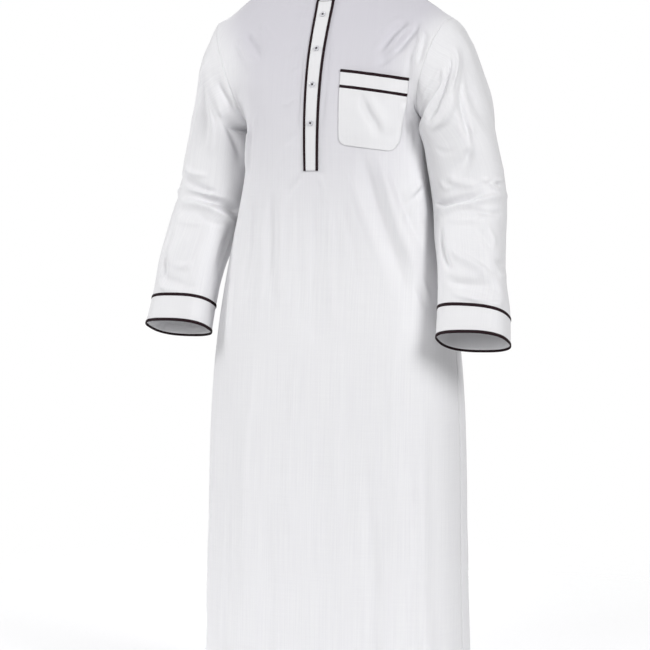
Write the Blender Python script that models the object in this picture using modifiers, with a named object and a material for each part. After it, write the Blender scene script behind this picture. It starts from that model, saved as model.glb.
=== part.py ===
"""A white thobe robe in its worn shape, with dark piping, a half placket, a chest pocket and piped cuffs.

Metres, +Z up. The front faces -Y and the wearer's left side is +X. The origin is the middle of the
neck opening, level with the points where the shoulder seams meet the collar.
Each sewn piece is a closed wall of its own, and neighbours stop a seam gap apart. The front and the
back are one piece of cloth each, and stand as two solids that part at a level line below the waist.
"""

import bpy
import numpy as np
from mathutils import Euler, Matrix, Vector

COLLECTION = "thobe_robe"

# Cloth and seams
CLOTH = 0.0015
SEAM_GAP = 0.0003
MITRE_LIMIT = 1.6
ON_PANEL_GAP = 0.0009
PATCH_CLOTH = 0.0012
PIPING_WIDTH = 0.004
PIPING_THICKNESS = 0.002
PIPING_PROUD = 0.0006
SHARP_ANGLE = np.radians(40)

# Neck, shoulders and armholes of the body
HEM_HEIGHT = -1.42
UNDERARM_HEIGHT = -0.295
NECK_HALF_WIDTH = 0.068
NECK_SIDE_Y = 0.003
NECK_DIP = 1.3
ARMHOLE_FRONT_DEPTH = 0.078
ARMHOLE_BACK_DEPTH = 0.078
ARMHOLE_FULLNESS = 0.75
ARMHOLE_LEAN = 1.3
ARMHOLE_PULL = 3
TOP_PULL = 1.5
COLLAR_HEIGHT = 0.036
COLLAR_LEAN = 0.22

# Outer end of each shoulder seam: x on the left side, y, z, and how far the seam rounds up between its ends
LEFT_SHOULDER = (0.235, 0.005, -0.108, 0.004)
RIGHT_SHOULDER = (0.247, 0.005, -0.092, 0.016)

# Horizontal sections of the body: height, half width at the side seam, depths of the front, sides and back
BODY_SECTIONS = (
    (-1.420, 0.262, -0.174, -0.011, 0.151),
    (-1.290, 0.257, -0.170, -0.010, 0.148),
    (-1.150, 0.254, -0.165, -0.010, 0.143),
    (-1.010, 0.253, -0.160, -0.010, 0.138),
    (-0.915, 0.252, -0.155, -0.010, 0.134),
    (-0.820, 0.249, -0.150, -0.009, 0.129),
    (-0.707, 0.240, -0.142, -0.007, 0.122),
    (-0.612, 0.227, -0.133, -0.005, 0.116),
    (-0.555, 0.217, -0.128, -0.004, 0.113),
    (-0.502, 0.206, -0.124, -0.003, 0.111),
    (-0.441, 0.192, -0.122, -0.002, 0.112),
    (-0.346, 0.184, -0.125, 0.000, 0.119),
    (-0.295, 0.180, -0.124, 0.000, 0.123),
)
BODY_SQUARENESS = 2.5

# Middle lines above the underarm, up to the neckline: height, depth
CENTRE_FRONT = ((-0.295, -0.124), (-0.230, -0.116), (-0.162, -0.098), (-0.099, -0.071), (-0.070, -0.060))
CENTRE_BACK = ((-0.295, 0.123), (-0.200, 0.121), (-0.110, 0.108), (-0.045, 0.086), (-0.004, 0.066))

# Sections of each sleeve, as on the left side: x, y, z, half width, half depth, and in degrees the
# roll (outer side up), yaw (outer side back) and pitch (lower end forward)
LEFT_SLEEVE = (
    (0.233, -0.006, -0.230, 0.082, 0.079, 64.0, 4.0, 0.0),
    (0.241, -0.012, -0.280, 0.064, 0.078, 34.0, -8.0, 0.0),
    (0.254, -0.010, -0.348, 0.066, 0.064, 6.0, 6.0, 2.0),
    (0.265, 0.002, -0.435, 0.068, 0.062, 5.0, 12.0, 8.0),
    (0.279, -0.030, -0.512, 0.064, 0.058, 3.0, 6.0, 20.0),
    (0.292, -0.056, -0.573, 0.061, 0.054, 0.0, 4.0, 22.0),
    (0.305, -0.078, -0.648, 0.066, 0.051, -2.0, 0.0, 22.0),
    (0.309, -0.092, -0.702, 0.067, 0.052, 1.0, 0.0, 22.0),
)
RIGHT_SLEEVE = (
    (0.232, 0.002, -0.226, 0.084, 0.078, 67.0, 8.0, 0.0),
    (0.240, 0.004, -0.276, 0.060, 0.072, 38.0, 12.0, 0.0),
    (0.256, 0.008, -0.348, 0.066, 0.064, 6.0, 14.0, 2.0),
    (0.266, -0.002, -0.430, 0.068, 0.063, 4.0, 12.0, 8.0),
    (0.280, -0.032, -0.508, 0.064, 0.058, 2.0, 6.0, 18.0),
    (0.289, -0.054, -0.565, 0.062, 0.054, 1.0, 2.0, 19.0),
    (0.295, -0.074, -0.636, 0.061, 0.050, 0.0, 0.0, 19.0),
    (0.299, -0.088, -0.686, 0.063, 0.051, 0.0, 0.0, 19.0),
)
SLEEVE_SQUARENESS = 2.6
CUFF_HEIGHT = 0.052

# Folds on a panel: across and height of each end, sideways bow, half width, rise (a trough is negative)
FRONT_FOLDS = (
    (0.092, -0.352, 0.190, -0.620, 0.000, 0.016, -0.0045),
    (0.118, -0.352, 0.212, -0.590, 0.000, 0.014, 0.0045),
    (0.212, -0.118, 0.130, -0.200, 0.004, 0.012, -0.0040),
    (0.182, -0.108, 0.122, -0.176, 0.004, 0.010, -0.0035),
)
BACK_FOLDS = (
    (-0.060, -0.330, -0.160, -0.560, 0.015, 0.018, -0.0045),
    (0.070, -0.340, 0.150, -0.580, 0.012, 0.018, -0.0040),
)

# Folds on a sleeve: degrees round from the outer line (front is 90) and distance down, then as above
LEFT_SLEEVE_FOLDS = (
    (150.0, 0.260, 50.0, 0.243, 0.004, 0.013, -0.0070),
    (148.0, 0.284, 5.0, 0.250, 0.006, 0.014, 0.0050),
    (104.0, 0.118, 46.0, 0.060, 0.004, 0.012, -0.0045),
    (98.0, 0.130, 20.0, 0.066, 0.006, 0.012, 0.0040),
    (110.0, 0.425, 12.0, 0.405, 0.012, 0.016, -0.0045),
)
RIGHT_SLEEVE_FOLDS = (
    (168.0, 0.279, 78.0, 0.256, 0.004, 0.013, -0.0070),
    (178.0, 0.300, 72.0, 0.268, 0.006, 0.014, 0.0050),
    (130.0, 0.250, 62.0, 0.214, 0.004, 0.012, -0.0045),
    (150.0, 0.444, 60.0, 0.428, 0.016, 0.014, -0.0035),
)
SLEEVE_RADIUS = 0.065
SEAM_CALM = 0.04
FOLD_END = 0.6

# Placket, collar lap and buttons on the middle line
PLACKET_BOTTOM = -0.390
PLACKET_SHORTEST_STEP = 0.004
PLACKET_TOP_HALF = 0.0180
PLACKET_BOTTOM_HALF = 0.0145
COLLAR_LAP_HALF = 0.0155
COLLAR_LAP_STEPS = (0.03, 0.5, 1.0)
COLLAR_BUTTON_HEIGHT = -0.052
BUTTON_RADIUS = 0.0055
BUTTON_THICKNESS = 0.0025
BUTTON_BEVEL = 0.0007
BUTTON_SIDES = 20
BUTTON_HEIGHTS = (-0.096, -0.162, -0.230, -0.302)

# Chest pocket: corners as across-x and height
POCKET_TOP = ((0.0535, -0.2035), (0.1765, -0.2215))
POCKET_BOTTOM = ((0.0555, -0.342), (0.1520, -0.356))
POCKET_BAND = 0.033
POCKET_CORNER = 0.014
POCKET_CORNER_STEPS = (0.0, 0.12, 0.45, 1.0)
POCKET_COLUMNS = 14
POCKET_ROWS = 12
POCKET_BAND_ROWS = 4

# Grid counts
NECK_COLUMNS = 5
SHOULDER_COLUMNS = 8
LOWER_ROWS = 20
# Rows below the level line that parts the skirt from the body, as two solids of one panel
SKIRT_ROWS = 12
LOWER_ROW_GROWTH = 1.5
UPPER_ROWS = 12
# Spaces between rows above, over and below the elbow
SLEEVE_ROWS = (6, 7, 6)
ELBOW_SPAN = (0.19, 0.31)
CURVE_STEPS = 240
RELAX_STEPS = 6
RELAX_BELOW = 4
PLACE_STEPS = 4


def hermite(at, known, values):
    """Values at the places `at`, on a smooth curve through `values` at the places `known`."""
    known = np.asarray(known, float)
    values = np.asarray(values, float)
    slopes = np.gradient(values, known, axis=0)
    step = np.clip(np.searchsorted(known, at, side="right") - 1, 0, len(known) - 2)
    shape = np.shape(at) + (1,) * (values.ndim - 1)
    width = (known[step + 1] - known[step]).reshape(shape)
    u = (np.asarray(at) - known[step]).reshape(shape) / width
    start = values[step] * (2 * u**3 - 3 * u**2 + 1) + slopes[step] * width * (u**3 - 2 * u**2 + u)
    end = values[step + 1] * (3 * u**2 - 2 * u**3) + slopes[step + 1] * width * (u**3 - u**2)
    return start + end


def by_length(curve, fractions):
    """Points at the given fractions of a curve's length."""
    length = np.concatenate([[0.0], np.cumsum(np.linalg.norm(np.diff(curve, axis=0), axis=1))])
    at = np.asarray(fractions) * length[-1]
    return np.stack([np.interp(at, length, curve[:, axis]) for axis in range(3)], axis=1)


def oval(angle, squareness):
    """Sine and cosine of an angle, pushed out towards a rounded box."""
    power = 2 / squareness
    sine = np.sign(np.sin(angle)) * np.abs(np.sin(angle)) ** power
    cosine = np.sign(np.cos(angle)) * np.abs(np.cos(angle)) ** power
    return sine, cosine


def half_section(height, side, fractions):
    """Half of a body section from the middle line to the side seam; side is -1 in front and 1 behind."""
    sections = np.array(BODY_SECTIONS)
    _, width, front, middle, back = hermite(np.array([height]), sections[:, 0], sections)[0]
    depth = (front if side < 0 else back) - middle
    sine, cosine = oval(np.linspace(0, np.pi / 2, CURVE_STEPS + 1), BODY_SQUARENESS)
    curve = np.stack([width * sine, middle + depth * cosine, np.full_like(sine, height)], axis=1)
    return by_length(curve, fractions)


def armhole(side, shoulder, rows):
    """The front or back edge of an armhole on the left, from the underarm up to the shoulder point."""
    turn = np.pi * rows
    lift = (1 - np.cos(turn)) / 2
    underarm = BODY_SECTIONS[-1][1]
    depth = ARMHOLE_FRONT_DEPTH if side < 0 else ARMHOLE_BACK_DEPTH
    x = underarm + (shoulder[0] - underarm) * lift**ARMHOLE_LEAN
    y = shoulder[1] * lift + side * depth * np.abs(np.sin(turn)) ** ARMHOLE_FULLNESS
    y[[0, -1]] = (0.0, shoulder[1])
    z = UNDERARM_HEIGHT + (shoulder[2] - UNDERARM_HEIGHT) * lift
    return np.stack([x, y, z], axis=1)


def half_neckline(side, fractions):
    """Half of the neckline, from the middle line to the top of the shoulder seam."""
    height, depth = (CENTRE_FRONT if side < 0 else CENTRE_BACK)[-1]
    angle = np.linspace(0, np.pi / 2, CURVE_STEPS + 1)
    x = NECK_HALF_WIDTH * np.sin(angle)
    y = NECK_SIDE_Y + (depth - NECK_SIDE_Y) * np.cos(angle)
    z = height * np.abs(np.cos(angle)) ** NECK_DIP
    curve = np.stack([x, y, z], axis=1)
    curve[-1] = (NECK_HALF_WIDTH, NECK_SIDE_Y, 0.0)
    return by_length(curve, fractions)


def half_top(side, shoulder):
    """The neckline and then the shoulder seam, with a corner where they meet."""
    neck = half_neckline(side, np.linspace(0, 1, NECK_COLUMNS + 1))
    share = np.linspace(0, 1, SHOULDER_COLUMNS + 1)[1:, None]
    seam = neck[-1] + (np.array(shoulder[:3]) - neck[-1]) * share
    seam[:, 2:] += shoulder[3] * np.sin(np.pi * share)
    return np.concatenate([neck, seam])


def half_shoulder(side, shoulder):
    """The half panel above the underarm, spanned between its four edges."""
    rows = np.linspace(0, 1, UPPER_ROWS + 1)
    across = np.linspace(0, 1, NECK_COLUMNS + SHOULDER_COLUMNS + 1)
    foot = half_section(UNDERARM_HEIGHT, side, across)
    top = half_top(side, shoulder)
    heights, depths = np.array(CENTRE_FRONT if side < 0 else CENTRE_BACK).T
    middle_z = heights[0] + (heights[-1] - heights[0]) * rows
    middle = np.stack([0 * rows, hermite(middle_z, heights, depths), middle_z], axis=1)
    edge = armhole(side, shoulder, rows)
    outward = (across**ARMHOLE_PULL)[None, :, None]
    slow = rows**TOP_PULL
    rise = np.stack([slow, 1 - np.sqrt(1 - rows**2), slow], axis=1)[:, None, :]
    sides = middle[:, None] * (1 - outward) + edge[:, None] * outward
    foot_part = foot[None] - (foot[0] * (1 - outward) + foot[-1] * outward)
    top_part = top[None] - (top[0] * (1 - outward) + top[-1] * outward)
    return sides + foot_part * (1 - rise) + top_part * rise


def panel(side):
    """The front (side -1) or back (side 1): rows from the hem up, columns anticlockwise seen from above."""
    across = np.linspace(0, 1, NECK_COLUMNS + SHOULDER_COLUMNS + 1)
    steps = np.arange(LOWER_ROWS, 0, -1) / LOWER_ROWS
    heights = UNDERARM_HEIGHT + (HEM_HEIGHT - UNDERARM_HEIGHT) * steps**LOWER_ROW_GROWTH
    lower = np.array([half_section(height, side, across) for height in heights])
    left = np.concatenate([lower, half_shoulder(side, LEFT_SHOULDER)])
    right = np.concatenate([lower, half_shoulder(side, RIGHT_SHOULDER)])
    grid = np.concatenate([right[:, :0:-1] * (-1, 1, 1), left], axis=1)
    lowest = LOWER_ROWS - RELAX_BELOW
    for _ in range(RELAX_STEPS):
        beside = grid[1:-1, :-2] + grid[1:-1, 2:] + grid[:-2, 1:-1] + grid[2:, 1:-1]
        grid[lowest:-1, 1:-1] = (beside / 4)[lowest - 1 :]
    return grid if side < 0 else grid[:, ::-1]


def sleeve_rings(sections, turns):
    """Points round each section of a left sleeve, from the inside past the front."""
    rings = []
    for x, y, z, half_width, half_depth, roll, yaw, pitch in sections:
        turn = Euler(np.radians([-pitch, -roll, 0.0]), "XYZ").to_matrix()
        turn = Matrix.Rotation(np.radians(yaw), 3, "Z") @ turn
        out, front = np.array(turn @ Vector((1, 0, 0))), np.array(turn @ Vector((0, -1, 0)))
        sine, cosine = oval(turns, SLEEVE_SQUARENESS)
        rings.append((x, y, z) - out * half_width * cosine[:, None] + front * half_depth * sine[:, None])
    return np.array(rings)


def sleeve_tube(sections, shoulder):
    """A function giving rows of a left sleeve at distances down from the armhole, and its whole length."""
    rows = np.linspace(0, 1, UPPER_ROWS + 1)
    ring = np.concatenate([armhole(-1, shoulder, rows), armhole(1, shoulder, rows)[-2:0:-1]])
    turns = np.concatenate([np.pi * rows, np.pi * (2 - rows[-2:0:-1])])
    rings = np.concatenate([ring[None], sleeve_rings(sections, turns)])
    places = np.concatenate([[0.0], np.cumsum(np.linalg.norm(np.diff(rings.mean(axis=1), axis=0), axis=1))])
    return lambda distances: hermite(np.asarray(distances), places, rings), places[-1]


def normals_of(grid, closed):
    """Outward unit normals of a grid; the columns of a closed grid go right round."""
    if closed:
        around = np.roll(grid, -1, axis=1) - np.roll(grid, 1, axis=1)
    else:
        around = np.gradient(grid, axis=1)
    normals = np.cross(around, np.gradient(grid, axis=0))
    return normals / np.linalg.norm(normals, axis=2, keepdims=True)


def fold_rise(across, height, folds):
    """How far the folds lift each point: every fold is a soft ridge or trough along a bowed line."""
    total = np.zeros_like(across)
    for start_across, start_height, end_across, end_height, bow, width, rise in folds:
        run = np.array([end_across - start_across, end_height - start_height])
        length = np.hypot(*run)
        along = ((across - start_across) * run[0] + (height - start_height) * run[1]) / length**2
        off = ((across - start_across) * run[1] - (height - start_height) * run[0]) / length
        off = off - bow * 4 * along * (1 - along)
        ends = np.sin(np.pi * np.clip(along, 0, 1)) ** FOLD_END
        total += rise * ends * np.exp(-((off / width) ** 2))
    return total


def calm(distance):
    """A factor that fades the folds out towards a seam."""
    u = np.clip(distance / SEAM_CALM, 0, 1)
    return u * u * (3 - 2 * u)


def steps_from(grid, axis, start):
    """Distance along rows (axis 0) or columns (axis 1) of a grid from the line with index start."""
    gaps = np.linalg.norm(np.diff(grid, axis=axis), axis=2)
    pad = [(0, 0), (0, 0)]
    pad[axis] = (1, 0)
    length = np.cumsum(np.pad(gaps, pad), axis=axis)
    return length - np.take(length, [start], axis=axis)


def fold_panel(grid, folds):
    """A panel with its folds, which fade out at the side seams, armholes, shoulders and neck."""
    middle = grid.shape[1] // 2
    across = steps_from(grid, 1, middle)
    width = np.abs(across[:, :1])
    down = -steps_from(grid, 0, grid.shape[0] - 1)
    rise = fold_rise(across, grid[..., 2], folds) * calm(width - np.abs(across)) * calm(down)
    return grid + normals_of(grid, False) * rise[..., None]


def fold_sleeve(grid, folds, distances):
    """A sleeve whose rows run down, with its folds, which fade out at the armhole and the cuff seam."""
    count = grid.shape[1]
    degrees = 180.0 - np.arange(count) * 360.0 / count
    to_length = np.array([np.radians(1) * SLEEVE_RADIUS, 1, np.radians(1) * SLEEVE_RADIUS, 1, 1, 1, 1])
    lines = np.array(folds) * to_length
    across, down = np.meshgrid(np.radians(degrees) * SLEEVE_RADIUS, distances)
    rise = fold_rise(across, down, lines) * calm(down) * calm(distances.max() - down)
    return grid - normals_of(grid, True) * rise[..., None]


def share_normals(pieces):
    """Normals averaged where pieces meet, and the stretch that keeps a mitred wall's thickness."""
    normals = {name: normals_of(grid, closed) for name, (grid, closed) in pieces.items()}
    sums = {}
    keys = {}
    for name, (grid, _) in pieces.items():
        flat = np.round(grid.reshape(-1, 3) * 1e6).astype(int)
        keys[name] = [tuple(point) for point in flat]
        for key, normal in zip(keys[name], normals[name].reshape(-1, 3)):
            total, count = sums.get(key, (np.zeros(3), 0))
            sums[key] = (total + normal, count + 1)
    shared = {}
    for name, (grid, _) in pieces.items():
        total = np.array([sums[key][0] for key in keys[name]]).reshape(grid.shape)
        count = np.array([sums[key][1] for key in keys[name]]).reshape(grid.shape[:2] + (1,))
        length = np.linalg.norm(total, axis=2, keepdims=True)
        shared[name] = (total / length, np.minimum(count / length, MITRE_LIMIT))
    return shared


def seam_edges(grid, stretch, closed):
    """How far each point moves back from the piece's edges, to leave half a seam gap there."""
    moves = np.zeros_like(grid)
    for axis in (0,) if closed else (0, 1):
        for edge, inward in ((0, 1), (-1, -2)):
            line = [slice(None)] * 2
            line[axis] = edge
            beside = [slice(None)] * 2
            beside[axis] = inward
            run = grid[tuple(beside)] - grid[tuple(line)]
            run = run / np.linalg.norm(run, axis=-1, keepdims=True)
            moves[tuple(line)] += run * stretch[tuple(line)] * SEAM_GAP / 2
    return moves


def add_wall(name, outer, inner, closed, material):
    """A closed wall between two skins with the same grid."""
    rows, columns = outer.shape[:2]
    spans = columns if closed else columns - 1
    points = np.concatenate([outer.reshape(-1, 3), inner.reshape(-1, 3)])
    count = rows * columns
    faces = []

    def at(row, column):
        return row * columns + column % columns

    def rim(start, end):
        """A face across the thickness, split from its lower outer corner as on the piece beside it."""
        face = [start, count + start, count + end, end]
        faces.append(face if points[start, 2] < points[end, 2] else face[3:] + face[:3])

    for row in range(rows - 1):
        for column in range(spans):
            quad = [at(row, column), at(row, column + 1), at(row + 1, column + 1), at(row + 1, column)]
            faces.append(quad)
            faces.append([count + corner for corner in reversed(quad)])
    for column in range(spans):
        rim(at(0, column), at(0, column + 1))
        rim(at(rows - 1, column + 1), at(rows - 1, column))
    if not closed:
        for row in range(rows - 1):
            rim(at(row + 1, 0), at(row, 0))
            rim(at(row, columns - 1), at(row + 1, columns - 1))
    mesh = bpy.data.meshes.new(name)
    mesh.from_pydata(points.tolist(), [], faces)
    mesh.materials.append(material)
    mesh.shade_smooth()
    mesh.set_sharp_from_angle(angle=SHARP_ANGLE)
    piece = bpy.data.objects.new(name, mesh)
    bpy.data.collections[COLLECTION].objects.link(piece)


def at_place(values, row, column):
    """A value between the points of a grid, at a fractional row and column."""
    low_row = min(int(row), values.shape[0] - 2)
    low_column = min(int(column), values.shape[1] - 2)
    u, v = row - low_row, column - low_column
    near = values[low_row, low_column] * (1 - v) + values[low_row, low_column + 1] * v
    far = values[low_row + 1, low_column] * (1 - v) + values[low_row + 1, low_column + 1] * v
    return near * (1 - u) + far * u


def find_place(grid, x, z):
    """The fractional row and column of the point of a front-facing grid at this x and z."""
    column = (grid.shape[1] - 1) / 2
    for _ in range(PLACE_STEPS):
        heights = [at_place(grid, row, column)[2] for row in range(grid.shape[0])]
        row = np.interp(z, heights, np.arange(grid.shape[0]))
        places = [at_place(grid, row, step)[0] for step in range(grid.shape[1])]
        column = np.interp(x, places, np.arange(grid.shape[1]))
    return row, column


def patch_skins(under, normals, lines, bottom, top, steps, thickness):
    """Outer and inner points of a piece that lies on a grid, at steps from 0 at its bottom to 1.

    Each line gives its x at a height, and the bottom and top edges give their height at an x.
    """
    outer, inner = [], []
    for step in steps:
        for line in lines:
            x = line(UNDERARM_HEIGHT)
            for _ in range(PLACE_STEPS):
                height = between(bottom(x), top(x), step)
                x = line(height)
            row, column = find_place(under, x, height)
            point = at_place(under, row, column)
            normal = at_place(normals, row, column)
            normal = normal / np.linalg.norm(normal)
            inner.append(point + normal * ON_PANEL_GAP)
            outer.append(point + normal * (ON_PANEL_GAP + thickness))
    shape = (len(steps), len(lines), 3)
    return np.array(outer).reshape(shape), np.array(inner).reshape(shape)


def between(start, end, share):
    """The value this share of the way from start to end."""
    return start + (end - start) * share


def neckline_height(x):
    """Height of the front neckline this far from the middle."""
    cosine = np.sqrt(1 - (x / NECK_HALF_WIDTH) ** 2)
    return CENTRE_FRONT[-1][0] * cosine**NECK_DIP


def row_height(grid, row):
    """A function giving the height of a front-facing grid's row at an x."""
    return lambda x: np.interp(x, grid[row, :, 0], grid[row, :, 2])


def straight_line(low, high):
    """A function giving the x at a height of the line between two points, each with x and height."""
    return lambda height: between(low[0], high[0], np.clip((height - low[1]) / (high[1] - low[1]), 0, 1))


def add_strip(names, under, normals, half_widths, heights, edges, steps, cloth, piping):
    """A strip of cloth on the middle line, with piping along both long edges."""
    strip_name, right_name, left_name = names

    def line(side, inset):
        low, high = [side * (half - inset) for half in half_widths]
        return straight_line((low, heights[0]), (high, heights[1]))

    strip_inset = PIPING_WIDTH + SEAM_GAP
    layers = (
        (strip_name, [line(-1, strip_inset), line(0, 0), line(1, strip_inset)], PATCH_CLOTH, cloth),
        (right_name, [line(-1, 0), line(-1, PIPING_WIDTH)], PIPING_THICKNESS, piping),
        (left_name, [line(1, PIPING_WIDTH), line(1, 0)], PIPING_THICKNESS, piping),
    )
    for name, lines, thickness, material in layers:
        skins = patch_skins(under, normals, lines, *edges, steps, thickness)
        add_wall(name, *skins, False, material)


def add_pocket(under, normals, cloth, piping):
    """The chest pocket: its body with rounded lower corners, and a top band between two lines of piping."""
    (low_left, low_left_z), (low_right, low_right_z) = POCKET_BOTTOM
    (high_left, high_left_z), (high_right, high_right_z) = POCKET_TOP
    left_edge = straight_line(POCKET_BOTTOM[0], POCKET_TOP[0])
    right_edge = straight_line(POCKET_BOTTOM[1], POCKET_TOP[1])

    def line_down(distance):
        slope = (high_right_z - high_left_z) / (high_right - high_left)
        return lambda x: high_left_z + slope * (x - high_left) - distance

    def round_bottom(x):
        straight = between(low_left_z, low_right_z, (x - low_left) / (low_right - low_left))
        inward = np.clip(min(x - low_left, low_right - x), 0, POCKET_CORNER)
        return straight + POCKET_CORNER - np.sqrt(POCKET_CORNER**2 - (POCKET_CORNER - inward) ** 2)

    def line_across(share, inset):
        return lambda height: between(left_edge(height) + inset, right_edge(height) - inset, share)

    corner_steps = [POCKET_CORNER * step for step in POCKET_CORNER_STEPS]
    shares = np.linspace(0, 1, POCKET_COLUMNS + 1)
    body_lines = [line_across(0.0, step) for step in corner_steps]
    body_lines += [line_across(share, POCKET_CORNER) for share in shares[1:-1]]
    body_lines += [line_across(1.0, step) for step in reversed(corner_steps)]
    band_lines = [line_across(share, 0.0) for share in shares]
    slot = SEAM_GAP / 2
    low_piping = POCKET_BAND - PIPING_WIDTH
    layers = (
        ("pocket_piping_top", band_lines, PIPING_WIDTH - slot, 0.0, 1, piping),
        ("pocket_band", band_lines, low_piping - slot, PIPING_WIDTH + slot, POCKET_BAND_ROWS, cloth),
        ("pocket_piping_lower", band_lines, POCKET_BAND - slot, low_piping + slot, 1, piping),
        ("pocket", body_lines, None, POCKET_BAND + slot, POCKET_ROWS, cloth),
    )
    for name, lines, bottom_down, top_down, rows, material in layers:
        bottom = round_bottom if bottom_down is None else line_down(bottom_down)
        top = line_down(top_down)
        thickness = PIPING_THICKNESS if material == piping else PATCH_CLOTH
        skins = patch_skins(under, normals, lines, bottom, top, np.linspace(0, 1, rows + 1), thickness)
        add_wall(name, *skins, False, material)


def add_button(name, under, normals, height, material):
    """A round button standing on a strip of cloth on the middle line."""
    row, column = find_place(under, 0.0, height)
    normal = Vector(at_place(normals, row, column)).normalized()
    lift = ON_PANEL_GAP + PATCH_CLOTH + SEAM_GAP + BUTTON_THICKNESS / 2
    bpy.ops.mesh.primitive_cylinder_add(vertices=BUTTON_SIDES, radius=BUTTON_RADIUS, depth=BUTTON_THICKNESS)
    button = bpy.context.object
    button.name = name
    button.data.name = name
    button.location = Vector(at_place(under, row, column)) + normal * lift
    button.rotation_mode = "QUATERNION"
    button.rotation_quaternion = normal.to_track_quat("Z", "Y")
    bevel = button.modifiers.new("rounded rim", "BEVEL")
    bevel.width = BUTTON_BEVEL
    bevel.segments = 2
    button.data.materials.append(material)
    for collection in list(button.users_collection):
        collection.objects.unlink(button)
    bpy.data.collections[COLLECTION].objects.link(button)


def make_material(name, colour, roughness):
    """A plain material of this colour."""
    material = bpy.data.materials.new(name)
    material.use_nodes = True
    shader = material.node_tree.nodes["Principled BSDF"]
    shader.inputs["Base Color"].default_value = (*colour, 1.0)
    shader.inputs["Roughness"].default_value = roughness
    material.diffuse_color = (*colour, 1.0)
    return material


def collar_ring():
    """The collar, open in front: rows up from the neckline, columns from the middle round to the middle."""
    steps = np.linspace(0, 1, NECK_COLUMNS + 1)
    front, back = half_neckline(-1, steps), half_neckline(1, steps)
    mirror = (-1, 1, 1)
    base = np.concatenate([front, back[-2::-1], back[1:] * mirror, front[-2::-1] * mirror])
    inward = (0.0, NECK_SIDE_Y, 0.0) - base
    inward[:, 2] = 0.0
    inward = inward / np.linalg.norm(inward, axis=1, keepdims=True)
    up = np.array([0.0, 0.0, 1.0]) + inward * COLLAR_LEAN
    up = up / np.linalg.norm(up, axis=1, keepdims=True)
    return np.array([base + up * COLLAR_HEIGHT * step for step in (0.0, 0.5, 1.0)])


def middle_of_ring(grid):
    """The columns of the collar on both sides of its opening, as one grid that faces the front."""
    return np.concatenate([grid[:, -NECK_COLUMNS - 1 :], grid[:, 1 : NECK_COLUMNS + 1]], axis=1)


def add_sleeve(sections, shoulder, folds, side_name, pieces):
    """Adds the grids of one sleeve, its cuff and their piping to the pieces."""
    tube, length = sleeve_tube(sections, shoulder)
    seam = length - CUFF_HEIGHT
    counts = np.cumsum((0, *SLEEVE_ROWS))
    distances = np.interp(np.arange(counts[-1] + 1), counts, (0.0, *ELBOW_SPAN, seam - PIPING_WIDTH / 2))
    grids = {
        "sleeve": fold_sleeve(tube(distances), folds, distances),
        "cuff_seam_piping": tube([seam - PIPING_WIDTH / 2, seam + PIPING_WIDTH / 2]),
        "cuff": tube(np.linspace(seam + PIPING_WIDTH / 2, length - PIPING_WIDTH, 3)),
        "cuff_edge_piping": tube([length - PIPING_WIDTH, length]),
    }
    for name, grid in grids.items():
        turned = grid[::-1] if side_name == "left" else grid * (-1, 1, 1)
        pieces[f"{name}_{side_name}"] = (turned, True)


def main():
    """Builds every piece of the robe."""
    for item in list(bpy.data.objects):
        bpy.data.objects.remove(item)
    bpy.context.scene.collection.children.link(bpy.data.collections.new(COLLECTION))
    cloth = make_material("white_cotton", (0.84, 0.84, 0.87), 0.75)
    piping = make_material("dark_brown_piping", (0.025, 0.016, 0.018), 0.7)
    plastic = make_material("white_button", (0.8, 0.8, 0.82), 0.35)

    pieces = {"collar": (collar_ring(), False)}
    for name, side, folds in (("front", -1, FRONT_FOLDS), ("back", 1, BACK_FOLDS)):
        grid = fold_panel(panel(side), folds)
        pieces[f"{name}_body"] = (grid[SKIRT_ROWS:], False)
        pieces[f"{name}_skirt"] = (grid[: SKIRT_ROWS + 1], False)
    add_sleeve(LEFT_SLEEVE, LEFT_SHOULDER, LEFT_SLEEVE_FOLDS, "left", pieces)
    add_sleeve(RIGHT_SLEEVE, RIGHT_SHOULDER, RIGHT_SLEEVE_FOLDS, "right", pieces)
    shared = share_normals(pieces)
    for name, (grid, closed) in pieces.items():
        normals, stretch = shared[name]
        edges = seam_edges(grid, stretch, closed)
        is_piping = "piping" in name
        outer = grid + edges + normals * (PIPING_PROUD if is_piping else 0.0)
        inner = grid + edges - normals * stretch * CLOTH
        add_wall(name, outer, inner, closed, piping if is_piping else cloth)

    front, front_normals = pieces["front_body"][0], shared["front_body"][0]
    neck = CENTRE_FRONT[-1][0]
    heights = front[:, front.shape[1] // 2, 2]
    lowest, highest = PLACKET_BOTTOM + PLACKET_SHORTEST_STEP, neck - PLACKET_SHORTEST_STEP
    between_ends = heights[(heights > lowest) & (heights < highest)]
    steps = [0.0, *(between_ends - PLACKET_BOTTOM) / (neck - PLACKET_BOTTOM), 1.0]
    edges = (lambda x: PLACKET_BOTTOM, lambda x: neckline_height(x) - ON_PANEL_GAP)
    names = ("placket", "placket_piping_right", "placket_piping_left")
    halves = (PLACKET_BOTTOM_HALF, PLACKET_TOP_HALF)
    add_strip(names, front, front_normals, halves, (PLACKET_BOTTOM, neck), edges, steps, cloth, piping)
    add_pocket(front, front_normals, cloth, piping)
    for count, height in enumerate(BUTTON_HEIGHTS, start=1):
        add_button(f"button_{count}", front, front_normals, height, plastic)

    throat, normals = (middle_of_ring(grid) for grid in (pieces["collar"][0], shared["collar"][0]))
    edges = (row_height(throat, 0), row_height(throat, -1))
    names = ("collar_lap", "collar_piping_right", "collar_piping_left")
    halves = (COLLAR_LAP_HALF, COLLAR_LAP_HALF)
    heights = (neck, neck + COLLAR_HEIGHT)
    add_strip(names, throat, normals, halves, heights, edges, COLLAR_LAP_STEPS, cloth, piping)
    add_button("collar_button", throat, normals, COLLAR_BUTTON_HEIGHT, plastic)


if __name__ == "__main__":
    main()
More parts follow.
